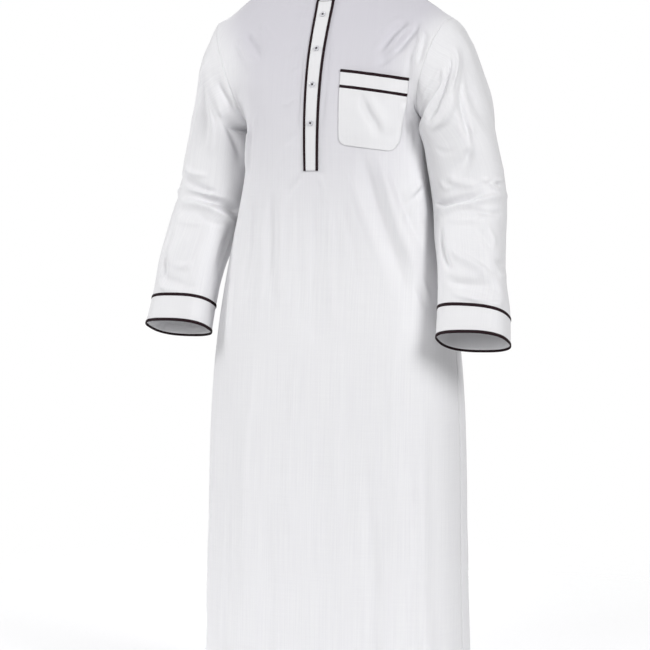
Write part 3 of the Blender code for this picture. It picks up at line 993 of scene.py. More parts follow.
def crumple_group() -> NodeTree:
    """Small soft wrinkles left by wear, as a height in metres.

    Returns:
        The node group.
    """
    inputs = {"Place": (VECTOR, None), "Size": (FLOAT, 0.03), "Depth": (FLOAT, 0.0006)}
    nodes, given, out = new_group("soft crumple", inputs, {"Height": FLOAT, "Mask": FLOAT})
    scale = nodes.math("DIVIDE", 1.0, given["Size"])
    scaled = nodes.add("ShaderNodeVectorMath", {"operation": "SCALE"}, in0=given["Place"], Scale=scale)
    place = scaled.outputs[0]
    broad = nodes.add("ShaderNodeTexNoise", Vector=place, Scale=1.0, Detail=2.0, Distortion=0.2).outputs[0]
    fold = nodes.math("ABSOLUTE", nodes.math("SUBTRACT", broad, 0.5))
    ridge = nodes.ramp(fold, 0.0, 0.2, 0.5, 0.0)
    patch = nodes.add("ShaderNodeTexNoise", Vector=place, Scale=0.35, Detail=1.0).outputs[0]
    mask = nodes.ramp(patch, 0.45, 0.7)
    height = nodes.math("ADD", nodes.math("MULTIPLY", ridge, mask), broad)
    nodes.tree.links.new(nodes.math("MULTIPLY", height, given["Depth"]), out.inputs["Height"])
    nodes.tree.links.new(mask, out.inputs["Mask"])
    return nodes.tree


# painted shade: heights over which the upper chest is painted greyer, and how far out from the middle line
# that fades
CHEST_HEIGHTS = (-0.62, -0.06)
CHEST_EDGE = (0.12, 0.21)
# the painted shade reaches further out over the shoulders
YOKE_HEIGHTS = (-0.20, -0.07)
YOKE_REACH = 0.06


@dataclass(frozen=True)
class ClothFinish:
    """A woven finish."""

    name: str
    colour: Row
    shade: Row
    threads: float
    weave_depth: float
    crumple_size: float
    crumple_depth: float
    roughness: float
    sheen: float
    streaks: float = 0.2
    # how strongly the upper chest and shoulders are painted greyer, as painted shade
    painted_chest_shade: float = 0.0
    gloss: float = 0.35

    def build(self, groups: dict[str, NodeTree]) -> Material:
        """Makes the material.

        Args:
            groups: The shared node groups.

        Returns:
            The material.
        """
        material, nodes, shader = new_material(self.name)
        place = nodes.add("ShaderNodeUVMap", {"uv_map": "cloth"}).outputs[0]
        weave = nodes.add("ShaderNodeGroup", {"node_tree": groups["weave"]}, Place=place,
                          Threads=self.threads)
        crumple = nodes.add("ShaderNodeGroup", {"node_tree": groups["crumple"]}, Place=place,
                            Size=self.crumple_size, Depth=self.crumple_depth)
        share = nodes.ramp(weave.outputs["Shade"], 0.2, 0.8, 1.0 - self.streaks, 1.0)
        # painted shade: the cloth is painted greyer up the upper body and over the shoulders, fading out
        # towards the sides
        if self.painted_chest_shade:
            where = nodes.add("ShaderNodeSeparateXYZ", in0=nodes.add("ShaderNodeTexCoord").outputs["Object"])
            high = nodes.ramp(where.outputs[2], *CHEST_HEIGHTS, 0.0, self.painted_chest_shade)
            wider = nodes.ramp(where.outputs[2], *YOKE_HEIGHTS, 0.0, YOKE_REACH)
            aside = nodes.math("SUBTRACT", nodes.math("ABSOLUTE", where.outputs[0]), wider)
            painted_shade = nodes.math("MULTIPLY", high, nodes.ramp(aside, *CHEST_EDGE, 1.0, 0.0))
            share = nodes.math("MULTIPLY", share, nodes.math("SUBTRACT", 1.0, painted_shade))
        nodes.feed(shader.inputs["Base Color"], nodes.mix(share, self.shade, self.colour))
        relief = nodes.math("ADD", nodes.math("MULTIPLY", weave.outputs["Height"], self.weave_depth),
                            crumple.outputs["Height"])
        bump = nodes.add("ShaderNodeBump", Height=relief, Strength=1.0, Distance=1.0)
        nodes.feed(shader.inputs["Normal"], bump.outputs[0])
        rough = nodes.ramp(crumple.outputs["Mask"], 0.0, 1.0, self.roughness, self.roughness + 0.08)
        nodes.feed(shader.inputs["Roughness"], rough)
        shader.inputs["Sheen Weight"].default_value = self.sheen
        shader.inputs["Sheen Roughness"].default_value = 0.4
        shader.inputs["Specular IOR Level"].default_value = self.gloss
        material.diffuse_color = self.colour
        return material


@dataclass(frozen=True)
class PlasticFinish:
    """A polished resin finish with a faint cloud in it."""

    name: str
    colour: Row
    shade: Row
    roughness: float

    def build(self) -> Material:
        """Makes the material.

        Returns:
            The material.
        """
        material, nodes, shader = new_material(self.name)
        place = nodes.add("ShaderNodeTexCoord").outputs["Object"]
        cloud = nodes.add("ShaderNodeTexNoise", Vector=place, Scale=420.0, Detail=2.0).outputs[0]
        tint = nodes.mix(nodes.ramp(cloud, 0.35, 0.7), self.colour, self.shade)
        nodes.feed(shader.inputs["Base Color"], tint)
        scuff = nodes.add("ShaderNodeTexNoise", Vector=place, Scale=2600.0, Detail=2.0).outputs[0]
        rough = nodes.ramp(scuff, 0.4, 0.7, self.roughness, self.roughness + 0.15)
        nodes.feed(shader.inputs["Roughness"], rough)
        shader.inputs["Coat Weight"].default_value = 0.3
        material.diffuse_color = self.colour
        return material


@dataclass(frozen=True)
class Finishes:
    """Every finish of the robe, built once."""

    cloth: Material
    double_cloth: Material
    piping: Material
    thread: Material
    dark_thread: Material
    button: Material


def make_finishes() -> Finishes:
    """Builds the finishes and the node groups that they share.

    Returns:
        The finishes.
    """
    groups = {"weave": weave_group(), "crumple": crumple_group()}
    # the cotton carries painted shade: it is painted greyer over the upper chest and shoulders
    cotton = ClothFinish("white cotton", colour=(0.79, 0.79, 0.80, 1.0), shade=(0.54, 0.525, 0.58, 1.0),
                         threads=2300.0, weave_depth=0.00003, crumple_size=0.05, crumple_depth=0.0007,
                         roughness=0.62, sheen=0.3, streaks=0.3, painted_chest_shade=0.75)
    double = ClothFinish("white cotton in two layers", colour=(0.765, 0.765, 0.775, 1.0),
                         shade=(0.62, 0.61, 0.65, 1.0), threads=2300.0, weave_depth=0.00003,
                         crumple_size=0.03, crumple_depth=0.0003, roughness=0.62, sheen=0.3, streaks=0.3)
    tape = ClothFinish("dark brown piping", colour=(0.022, 0.010, 0.013, 1.0),
                       shade=(0.008, 0.004, 0.005, 1.0), threads=3000.0, weave_depth=0.00006,
                       crumple_size=0.01, crumple_depth=0.0002, roughness=0.75, sheen=0.03, streaks=0.6,
                       gloss=0.12)
    thread = ClothFinish("white thread", colour=(0.88, 0.88, 0.90, 1.0), shade=(0.7, 0.7, 0.75, 1.0),
                         threads=4000.0, weave_depth=0.00002, crumple_size=0.01, crumple_depth=0.00002,
                         roughness=0.55, sheen=0.2)
    dark = ClothFinish("dark thread", colour=(0.020, 0.012, 0.014, 1.0), shade=(0.010, 0.007, 0.010, 1.0),
                       threads=4000.0, weave_depth=0.00002, crumple_size=0.01, crumple_depth=0.00002,
                       roughness=0.6, sheen=0.1)
    resin = PlasticFinish("white button resin", colour=(0.68, 0.68, 0.71, 1.0),
                          shade=(0.52, 0.52, 0.56, 1.0), roughness=0.3)
    return Finishes(cotton.build(groups), double.build(groups), tape.build(groups), thread.build(groups),
                    dark.build(groups), resin.build())


# Stitches


@dataclass
class Stitching:
    """Rows of machine stitches, laid along paths by one Geometry Nodes tree."""

    thread: Material
    pitch: float = 0.0034
    length: float = 0.0026
    thickness: float = 0.00034
    _tree: NodeTree | None = field(default=None, repr=False)

    def tree(self) -> NodeTree:
        """The node tree, with its sizes as named inputs.

        Returns:
            The tree, built at the first call.
        """
        if self._tree is None:
            tree = bpy.data.node_groups.new("stitch rows", "GeometryNodeTree")
            sockets = (("Rows", "NodeSocketGeometry"), ("Pitch", FLOAT), ("Length", FLOAT),
                       ("Thickness", FLOAT), ("Thread", "NodeSocketMaterial"))
            for name, kind in sockets:
                tree.interface.new_socket(name, in_out="INPUT", socket_type=kind)
            tree.interface.new_socket("Stitches", in_out="OUTPUT", socket_type="NodeSocketGeometry")
            nodes = Nodes(tree)
            entry = tree.nodes.new("NodeGroupInput").outputs
            points = nodes.add("GeometryNodeCurveToPoints", {"mode": "LENGTH"}, in0=entry["Rows"])
            nodes.feed(points.inputs["Length"], entry["Pitch"])
            turned = nodes.add("FunctionNodeAlignRotationToVector", {"axis": "X"},
                               Vector=points.outputs["Tangent"])
            shape = nodes.add("GeometryNodeMeshUVSphere", Segments=6, Rings=4, Radius=0.5)
            size = nodes.add("ShaderNodeCombineXYZ", in0=entry["Length"], in1=entry["Thickness"],
                             in2=entry["Thickness"])
            placed = nodes.add("GeometryNodeInstanceOnPoints", Points=points.outputs["Points"],
                               Instance=shape.outputs["Mesh"], Rotation=turned.outputs[0],
                               Scale=size.outputs[0])
            real = nodes.add("GeometryNodeRealizeInstances", in0=placed.outputs[0])
            smoothed = nodes.add("GeometryNodeSetShadeSmooth", in0=real.outputs[0])
            finished = nodes.add("GeometryNodeSetMaterial", in0=smoothed.outputs[0],
                                 Material=entry["Thread"])
            nodes.feed(tree.nodes.new("NodeGroupOutput").inputs[0], finished.outputs[0])
            self._tree = tree
        return self._tree

    def sew(self, name: str, rows: list[Seam]) -> None:
        """Stitches along paths, as one piece.

        Args:
            name: Name of the piece.
            rows: Each path's points, and whether it goes right round.
        """
        curve = bpy.data.curves.new(name, "CURVE")
        curve.dimensions = "3D"
        for points, closed in rows:
            spline = curve.splines.new("POLY")
            spline.points.add(len(points) - 1)
            spline.points.foreach_set("co", np.column_stack([points, np.ones(len(points))]).reshape(-1))
            spline.use_cyclic_u = closed
        guide = new_object(name, curve)
        modifier = guide.modifiers.new("stitches", "NODES")
        modifier.node_group = self.tree()
        given = {"Pitch": self.pitch, "Length": self.length, "Thickness": self.thickness,
                 "Thread": self.thread}
        for item in self.tree().interface.items_tree:
            if item.in_out == "INPUT" and item.name in given:
                modifier[item.identifier] = given[item.name]
        graph = bpy.context.evaluated_depsgraph_get()
        mesh = bpy.data.meshes.new_from_object(guide.evaluated_get(graph))
        bpy.data.objects.remove(guide)
        mesh.name = name
        if not mesh.uv_layers:
            mesh.uv_layers.new(name="cloth")
        else:
            mesh.uv_layers[0].name = "cloth"
        finish_piece(new_object(name, mesh), "white_cotton")


# Pieces


@dataclass
class Panel:
    """The front or the back of the robe."""

    name: str
    side: Side
    body: BodyCut
    main_folds: tuple[Fold, ...]
    creases: tuple[Fold, ...]
    flat: Pair
    flat_area: float
    lower_count: int = 230
    upper_count: int = 76
    finer_columns: int = 6
    thickness: float = 0.0006
    main_calm: float = 0.04
    crease_calm: float = 0.014
    stitch_inset: float = 0.005
    hem_stitches: float = 0.026
    hem_turn: float = 0.028
    hem_rise: float = 0.0005
    hem_step: float = 0.003
    hem_groove: float = 0.0006
    hem_groove_width: float = 0.004
    ripple_size: Pair = (0.10, 0.22)
    ripple_rise: float = 0.0009
    seam_dip: float = 0.0008
    seam_width: float = 0.006
    grid: Array = field(default=None, repr=False)
    normals: Array = field(default=None, repr=False)
    across: Array = field(default=None, repr=False)

    def shape(self) -> None:
        """Works out the panel with its folds."""
        rows = self.body.fine_rows(self.lower_count, self.upper_count)
        coarse = 2 * self.body.half_columns
        columns = np.linspace(0, coarse, coarse * self.finer_columns + 1)
        grid = self.body.panel(self.side, rows, columns)
        if self.side is Side.BACK:
            grid = grid[:, ::-1]
        middle = grid.shape[1] // 2
        across = lengths_along(grid, 1, middle)
        width = np.where(across < 0, np.abs(across[:, :1]), across[:, -1:])
        to_side = width - np.abs(across)
        to_top = -lengths_along(grid, 0, grid.shape[0] - 1)
        up = lengths_along(grid, 0, 0)
        height = grid[..., 2]
        far = seam_calm(to_side, self.main_calm) * seam_calm(to_top, self.main_calm)
        lift = folded(self.main_folds, across, height) * far
        near = seam_calm(to_side, self.crease_calm) * seam_calm(to_top, self.crease_calm)
        lift += folded(self.creases, across, height) * near
        lift += ripple(across, height, self.ripple_size, float(self.side.value)) * self.ripple_rise * near
        lift += (1 - smooth((up - self.hem_turn) / self.hem_step)) * self.hem_rise
        lift -= np.exp(-(((up - self.hem_turn) / self.hem_groove_width) ** 2)) * self.hem_groove
        lift -= self.seam_dip * (1 - seam_calm(np.minimum(to_side, to_top), self.seam_width))
        self.across = across
        self.grid = raised(grid, lift)
        self.normals = normals_of(self.grid)

    def over_line(self, picked: tuple, distance: float) -> Array:
        """A point just over a line of the panel.

        Args:
            picked: Index of the line's points in the grid.
            distance: How far along the line it lies.

        Returns:
            The point.
        """
        length = run_of(self.grid[picked])
        values = np.concatenate([self.grid[picked], self.normals[picked]], axis=1)
        found = np.array([np.interp(distance, length, values[:, axis]) for axis in range(6)])
        return found[:3] + found[3:] / np.linalg.norm(found[3:]) * STITCH_LIFT

    def seam_rows(self) -> list[Seam]:
        """Stitch lines beside the armholes and the shoulder seams, and along the hem.

        Returns:
            Each line's points, and whether it goes right round.
        """
        rising, sinking = slice(None), slice(None, None, -1)
        upper = range(self.lower_count, len(self.grid) - 2)
        reach = self.body.shoulder_columns * self.finer_columns
        lines = [([(row, way) for row in upper], self.stitch_inset) for way in (rising, sinking)]
        lines += [([(sinking, column) for column in columns], self.stitch_inset)
                  for columns in (range(2, reach + 1), range(-reach - 1, -2))]
        lines.append(([(rising, column) for column in range(self.grid.shape[1])], self.hem_stitches))
        return [(np.array([self.over_line(picked, distance) for picked in places]), False)
                for places, distance in lines]

    def build(self, finishes: Finishes) -> None:
        """Makes the piece.

        Args:
            finishes: The finishes.
        """
        place = np.stack([self.across, lengths_along(self.grid, 0, 0)], axis=-1)
        piece = grid_object(self.name + "_cloth", self.grid, False, place, finishes.cloth)
        finish_cloth(piece, self.thickness, self.name + "_body", self.name + "_skirt")


@dataclass
class Sleeve:
    """One sleeve with its cuff and its piping."""

    cut: SleeveCut
    body: BodyCut
    main_folds: tuple[Fold, ...]
    creases: tuple[Fold, ...]
    flat: Pair
    flat_area: float
    cuff_flat: Pair
    finer: int = 6
    rows: int = 200
    thickness: float = 0.0006
    cuff_thickness: float = 0.0012
    main_calm: float = 0.04
    crease_calm: float = 0.012
    ripple_size: Pair = (0.05, 0.07)
    ripple_rise: float = 0.0008
    ripple_seed: float = 5.0
    seam_dip: float = 0.0008
    seam_width: float = 0.006
    crown_rise: float = 0.0012
    crown_down: float = 0.012
    crown_width: float = 0.008
    cuff_rows: int = 16
    seam_reach: float = 0.004
    edge_reach: float = 0.003
    grids: dict[str, Array] = field(default_factory=dict, repr=False)

    def shape(self) -> None:
        """Works out the sleeve and cuff with their folds, rows running down as on the left."""
        places, rings = self.cut.tube(self.body, self.finer)
        length = places[-1]
        seam = length - self.cut.cuff_height
        half = self.cut.piping_width / 2
        down = np.linspace(0, seam, self.rows)
        tube = hermite(down, places, rings)
        count = tube.shape[1]
        degrees = 180.0 - np.arange(count) * 360.0 / count
        across, along = np.meshgrid(np.radians(degrees) * SLEEVE_RADIUS, down)
        far = seam_calm(along, self.main_calm) * seam_calm(seam - along, self.main_calm)
        lift = folded(self.main_folds, across, along) * far
        near = seam_calm(along, self.crease_calm) * seam_calm(seam - along, self.crease_calm)
        lift += folded(self.creases, across, along) * near
        waves = ripple(across, along, self.ripple_size, self.ripple_seed + self.cut.mirror)
        lift += waves * self.ripple_rise * near
        lift -= self.seam_dip * (1 - seam_calm(along, self.seam_width))
        lift += self.crown_rise * np.exp(-(((along - self.crown_down) / self.crown_width) ** 2)) * (along > 0)
        self.grids["sleeve"] = raised(tube, -lift, closed=True)
        self.grids["cuff"] = hermite(np.linspace(seam, length - half, self.cuff_rows), places, rings)
        joint = np.array([seam - self.seam_reach, seam, seam + self.seam_reach])
        self.grids["seam line"] = hermite(joint, places, rings)
        edge = np.array([length - 2 * half - self.edge_reach, length - half, length])
        self.grids["edge line"] = hermite(edge, places, rings)

    def seam_rows(self) -> list[Seam]:
        """Stitch lines round the cuff, just inside both lines of piping.

        Returns:
            Each line's points, and whether it goes right round.
        """
        rows = []
        for part, row in (("cuff", 1), ("cuff", -3), ("sleeve", -2)):
            line = raised(self.grids[part], -STITCH_LIFT, closed=True)[row]
            rows.append((line * (self.cut.mirror, 1, 1), True))
        return rows

    def turned(self, grid: Array) -> Array:
        """A grid with its rows and columns set so that its faces point out, on this sleeve's own side."""
        return grid[::-1] if self.cut.mirror > 0 else grid * MIRROR

    def place_of(self, grid: Array) -> Array:
        """Place on the flat cloth of a tube's points, with one more column."""
        whole = np.concatenate([grid, grid[:, :1]], axis=1)
        return np.stack([lengths_along(whole, 1, 0), lengths_along(whole, 0, 0)], axis=-1)

    def build(self, finishes: Finishes) -> None:
        """Makes the pieces.

        Args:
            finishes: The finishes.
        """
        side = self.cut.side_name
        own, above = ["front_cloth", "back_cloth"], [f"sleeve_{side}_cloth"]
        parts = (
            ("sleeve", finishes.cloth, self.thickness, self.flat, self.flat_area, own),
            ("cuff", finishes.double_cloth, self.cuff_thickness, self.cuff_flat, None, above),
        )
        for part, material, thickness, flat, area, carriers in parts:
            grid = self.turned(self.grids[part])
            piece = grid_object(f"{part}_{side}_cloth", grid, True, self.place_of(grid), material)
            finish_cloth(piece, thickness, f"{part}_{side}")
        own_side = (self.cut.mirror, 1, 1)
        for part, line in (("cuff_seam_piping", "seam line"), ("cuff_edge_piping", "edge line")):
            grid = self.grids[line]
            path, normals = grid[1] * own_side, -normals_of(grid, True)[1] * own_side
            piece = sweep(f"{part}_{side}_tape", path, normals, WIDE_PIPING_SIZE, True, finishes.piping)
            finish_piece(piece, "dark_brown_piping", f"{part}_{side}")


class Ground:
    """A piece of cloth that others lie on, read by looking at it from the front."""

    def __init__(self, grid: Array, normals: Array) -> None:
        """Takes in the surface.

        Args:
            grid: Points by row and column.
            normals: The outward normal at each point.
        """
        rows, self.columns = grid.shape[:2]
        self.tree = BVHTree.FromPolygons(grid.reshape(-1, 3).tolist(), grid_faces(rows, self.columns, False))
        self.normals = normals

    def at(self, x: Array, z: Array, lift: float = 0.0) -> Array:
        """Points of the surface straight behind given places.

        Args:
            x: Places across.
            z: Heights.
            lift: How far the points stand off the surface.

        Returns:
            One point for each place.
        """
        found = []
        places = list(zip(np.ravel(x), np.ravel(z)))
        hits = [self.tree.ray_cast(Vector((across, VIEW_START, height)), FORWARD)
                for across, height in places]
        # a place beside the surface takes its nearest point, looked for at the depth of the place before
        depth = next(spot.y for spot, *_ in hits if spot is not None)
        for (across, height), (spot, _, face, _) in zip(places, hits):
            if spot is None:
                spot, _, face, _ = self.tree.find_nearest(Vector((across, depth, height)))
            depth = spot.y
            row, column = divmod(face, self.columns - 1)
            near = Vector(self.normals[row, column]) + Vector(self.normals[row + 1, column + 1])
            found.append(spot + near.normalized() * lift)
        return np.array(found).reshape(np.shape(x) + (3,))


@dataclass
class Collar:
    """The band collar, with the placket's lap and piping carried up over it."""

    body: BodyCut
    height: float = 0.036
    lean: float = 0.22
    lap_half: float = 0.0155
    lap_gap: float = 0.0005
    lap_share: float = 0.97
    flat: Pair = (0.41, 0.037)
    thickness: float = 0.0014
    swell: float = 0.0006
    steps: int = 12
    finer: int = 6
    grid: Array = field(default=None, repr=False)

    def shape(self) -> None:
        """Works out the band, from the middle of the front round to it again."""
        columns = np.linspace(0, 1, self.body.neck_columns * self.finer + 1)
        front, back = (self.body.half_neckline(side, columns) for side in (Side.FRONT, Side.BACK))
        base = np.concatenate([front, back[-2::-1], back[1:] * MIRROR, front[-2::-1] * MIRROR])
        inward = np.array([0.0, self.body.neck_side_y, 0.0]) - base
        inward[:, 2] = 0.0
        up = unit(np.array([0.0, 0.0, 1.0]) + unit(inward) * self.lean)
        shares = np.linspace(0.0, 1.0, self.steps + 1)
        grid = np.array([base + up * self.height * share for share in shares])
        self.grid = raised(grid, np.sin(np.pi * shares)[:, None] * self.swell)

    def seam_rows(self) -> list[Seam]:
        """Stitch lines along the foot and the top of the band.

        Returns:
            Each line's points, and whether it goes right round.
        """
        outer = raised(self.grid, STITCH_LIFT)
        return [(outer[row], False) for row in (1, -2)]

    def throat(self) -> Ground:
        """The columns on both sides of the opening, as one surface that faces the front.

        Returns:
            The surface.
        """
        count = self.body.neck_columns * self.finer
        grid = np.concatenate([self.grid[:, -count - 1 :], self.grid[:, 1 : count + 1]], axis=1)
        return Ground(grid, normals_of(grid))

    def build(self, finishes: Finishes) -> None:
        """Makes the band.

        Args:
            finishes: The finishes.
        """
        place = np.stack([lengths_along(self.grid, 1, 0), lengths_along(self.grid, 0, 0)], axis=-1)
        piece = grid_object("collar_cloth", self.grid, False, place, finishes.double_cloth)
        finish_cloth(piece, self.thickness, "collar")


@dataclass
class Strip:
    """A strip of cloth on the middle line with piping along both long edges.

    The names are the strip's and those of its piping on the wearer's right and left.
    """

    names: tuple[str, str, str]
    ground: Ground
    bottom: float
    top: float
    bottom_half: float
    top_half: float
    flat: Pair
    carrier: str
    cross_seams: Row = ()
    piping_width: float = 0.004
    tape_lift: float = 0.0014
    thickness: float = 0.0007
    gap: float = 0.0009
    row_height: float = 0.0025
    columns: int = 16
    ripple_size: Pair = (0.02, 0.05)
    ripple_rise: float = 0.0003
    ripple_seed: float = 3.0
    ripple_calm: float = 0.004
    # share of the piping's width that the strip leaves free
    uncovered: float = 0.8
    surface: Array = field(default=None, repr=False)

    def half_at(self, z: Array) -> Array:
        """Half width at a height."""
        growth = self.top_half - self.bottom_half
        return self.bottom_half + growth * (z - self.bottom) / (self.top - self.bottom)

    def edge(self, side: int, steps: int, inset: float) -> Array:
        """Points along one long edge, from the bottom up.

        Args:
            side: -1 for the wearer's right, 1 for the left.
            steps: How many steps to take.
            inset: How far in from the edge.

        Returns:
            The places across and up.
        """
        z = np.linspace(self.bottom, self.reach(side * self.half_at(np.array([self.top]))[0]), steps + 1)
        return np.stack([side * (self.half_at(z) - inset), z], axis=1)

    def reach(self, x: float) -> float:
        """Height of the top edge at a place across."""
        return self.top

    def seam_rows(self) -> list[Seam]:
        """Stitch lines down both long edges, and across the strip.

        Returns:
            Each line's points, and whether it goes right round.
        """
        outer = raised(self.surface, self.thickness + STITCH_LIFT)
        rows = [(outer[:, column], False) for column in (1, -2)]
        for height in self.cross_seams:
            row = int(np.argmin(np.abs(outer[:, 0, 2] - height)))
            rows.append((outer[row, 1:-1], False))
        return rows

    def build(self, finishes: Finishes) -> None:
        """Makes the strip and its piping.

        Args:
            finishes: The finishes.
        """
        shares = np.linspace(-1, 1, self.columns + 1)
        rows = int((self.top - self.bottom) / self.row_height)
        x, z = np.zeros((rows + 1, len(shares))), np.zeros((rows + 1, len(shares)))
        for column, share in enumerate(shares):
            half = self.half_at(np.array([self.top]))[0] - self.piping_width
            top = self.reach(share * half)
            z[:, column] = np.linspace(self.bottom, top, rows + 1)
            x[:, column] = share * (self.half_at(z[:, column]) - self.piping_width * self.uncovered)
        grid = self.ground.at(x, z, self.gap)
        lift = ripple(x, z, self.ripple_size, self.ripple_seed) * self.ripple_rise
        lift = lift * seam_calm(self.half_at(z) - self.piping_width - np.abs(x), self.ripple_calm)
        self.surface = raised(grid, lift)
        place = np.stack([x, z], axis=-1)
        piece = grid_object(self.names[0] + "_cloth", self.surface, False, place, finishes.double_cloth)
        finish_cloth(piece, self.thickness, self.names[0], offset=1.0)
        for side, node in ((-1, self.names[1]), (1, self.names[2])):
            places = self.edge(side, rows, self.piping_width / 2)
            path = self.ground.at(places[:, 0], places[:, 1])
            spread = self.ground.at(places[:, 0] + PROBE, places[:, 1]) - path
            normals = unit(np.cross(spread, np.gradient(path, axis=0)))
            tape = sweep(node + "_tape", path, normals, PIPING_SIZE, False, finishes.piping, self.tape_lift)
            finish_piece(tape, "dark_brown_piping", node)


@dataclass
class Placket(Strip):
    """The front strip, cut at the top along the neckline."""

    body: BodyCut = BodyCut()

    def reach(self, x: float) -> float:
        """Height of the neckline at a place across."""
        cosine = math.sqrt(1 - (x / self.body.neck_half_width) ** 2)
        return self.body.neck_front * cosine**self.body.neck_dip - self.gap


@dataclass
class Pocket:
    """The chest pocket: its body with rounded lower corners, and a band between two lines of piping."""

    ground: Ground
    top: tuple[Row, Row] = ((0.0535, -0.2035), (0.1765, -0.2215))
    bottom: tuple[Row, Row] = ((0.0555, -0.342), (0.1520, -0.356))
    band: float = 0.033
    corner: float = 0.014
    piping_width: float = 0.004
    thickness: float = 0.0007
    gap: float = 0.0009
    bag: float = 0.0022
    bag_reach: float = 0.03
    edge_rise: float = 0.0005
    edge_reach: float = 0.0025
    fold_calm: float = 0.02
    ripple_size: Pair = (0.03, 0.04)
    ripple_rise: float = 0.0005
    ripple_seed: float = 8.0
    ripple_calm: float = 0.008
    floor_softness: float = 0.0008
    stitch_inset: float = 0.0016
    tape_lift: float = 0.0008
    # steps across the cloth and along the piping
    columns: int = 56
    piping_columns: int = 64
    # the first guess of the pocket's height, and how often the guess is bettered
    guessed_height: float = 0.1
    guesses: int = 6
    # added to the distance from the top edge, so that the opening stays as full as the middle
    mouth_slack: float = 0.05
    folds: tuple[Fold, ...] = ()
    surfaces: dict[str, Array] = field(default_factory=dict, repr=False)

    def side_x(self, side: int, z: Array) -> Array:
        """Place across of the inner (0) or outer (1) edge at a height."""
        low, high = self.bottom[side], self.top[side]
        return low[0] + (high[0] - low[0]) * np.clip((z - low[1]) / (high[1] - low[1]), 0, 1)

    def line_down(self, x: Array, down: float) -> Array:
        """Height of a line this far below the top edge."""
        (left, left_z), (right, right_z) = self.top
        return left_z + (right_z - left_z) / (right - left) * (x - left) - down

    def foot(self, x: Array) -> Array:
        """Height of the bottom edge with its rounded corners.

        Args:
            x: Places across.

        Returns:
            One height for each place.
        """
        (left, left_z), (right, right_z) = self.bottom
        inward = np.clip(np.minimum(x - left, right - x), 0, self.corner)
        rounded = self.corner - np.sqrt(self.corner**2 - (self.corner - inward) ** 2)
        return left_z + (right_z - left_z) * (x - left) / (right - left) + rounded

    def patch(self, top_down: float, bottom_down: float | None, rows: int,
              columns: int) -> tuple[Array, Array]:
        """Places across and up of the points of one of its pieces.

        Args:
            top_down: How far its top lies below the pocket's top edge.
            bottom_down: The same for its bottom, or None for the pocket's own bottom edge.
            rows: Steps up.
            columns: Steps across.

        Returns:
            Places across and heights, by row and column.
        """
        shares = (1 - np.cos(np.linspace(0, np.pi, columns + 1))) / 2
        steps = (1 - np.cos(np.linspace(0, np.pi, rows + 1))) / 2
        shares, steps = np.meshgrid(shares * 0.5 + np.linspace(0, 1, columns + 1) * 0.5, steps)
        z = np.full_like(shares, self.bottom[0][1]) + steps * self.guessed_height
        for _ in range(self.guesses):
            x = self.side_x(0, z) * (1 - shares) + self.side_x(1, z) * shares
            low = self.foot(x) if bottom_down is None else self.line_down(x, bottom_down)
            z = low + (self.line_down(x, top_down) - low) * steps
        return x, z

    def seam_rows(self) -> list[Seam]:
        """Stitch lines round the pocket's free edges and along the band.

        Returns:
            Each line's points, and whether it goes right round.
        """
        outer, band = (raised(self.surfaces[name], self.thickness + STITCH_LIFT)
                       for name in ("pocket", "pocket_band"))
        edge = np.concatenate([outer[::-1, 0], outer[0, 1:-1], outer[:, -1]])
        middle = outer[len(outer) // 2, outer.shape[1] // 2]
        toward = unit(middle - edge)
        run = unit(np.gradient(edge, axis=0))
        toward = unit(toward - run * (toward * run).sum(axis=1, keepdims=True))
        return [(edge + toward * self.stitch_inset, False), (band[2, 1:-1], False), (band[-3, 1:-1], False)]

    def build(self, finishes: Finishes) -> None:
        """Makes the pocket's pieces.

        Args:
            finishes: The finishes.
        """
        layers = (
            ("pocket", self.band, None, 60, (0.117, 0.115)),
            ("pocket_band", self.piping_width, self.band - self.piping_width, 12, (0.123, 0.026)),
        )
        for node, top_down, bottom_down, rows, flat in layers:
            x, z = self.patch(top_down, bottom_down, rows, self.columns)
            grid = self.ground.at(x, z, self.gap)
            to_side = np.minimum(x - self.side_x(0, z), self.side_x(1, z) - x)
            low = self.foot(x)
            to_top = self.line_down(x, 0.0) - z + self.mouth_slack
            to_edge = np.minimum(to_side, np.minimum(z - low, to_top))
            lift = self.bag * smooth(to_edge / self.bag_reach)
            lift = lift + self.edge_rise * smooth(to_edge / self.edge_reach)
            lift += folded(self.folds, x, z) * smooth(to_edge / self.fold_calm)
            waves = ripple(x, z, self.ripple_size, self.ripple_seed) * self.ripple_rise
            lift += waves * smooth(to_edge / self.ripple_calm)
            # a trough goes no deeper than the front that the pocket lies on
            lift = (lift + np.hypot(lift, self.floor_softness)) / 2
            self.surfaces[node] = raised(grid, lift)
            place = np.stack([x, z], axis=-1)
            piece = grid_object(node + "_cloth", self.surfaces[node], False, place, finishes.double_cloth)
            finish_cloth(piece, self.thickness, node, offset=1.0)
        lower = self.band - self.piping_width
        for node, down in (("pocket_piping_top", 0.0), ("pocket_piping_lower", lower)):
            x, z = self.patch(down, down + self.piping_width, 2, self.piping_columns)
            middle = self.ground.at(x[1], z[1], self.gap)
            above = self.ground.at(x[1], z[1] + PROBE, self.gap)
            normals = unit(np.cross(np.gradient(middle, axis=0), above - middle))
            to_side = np.minimum(x[1] - self.side_x(0, z[1]), self.side_x(1, z[1]) - x[1])
            middle = middle + normals * (self.bag * smooth(to_side / self.bag_reach))[:, None]
            tape = sweep(node + "_tape", middle, normals, WIDE_PIPING_SIZE, False, finishes.piping,
                         self.tape_lift)
            finish_piece(tape, "dark_brown_piping", node)


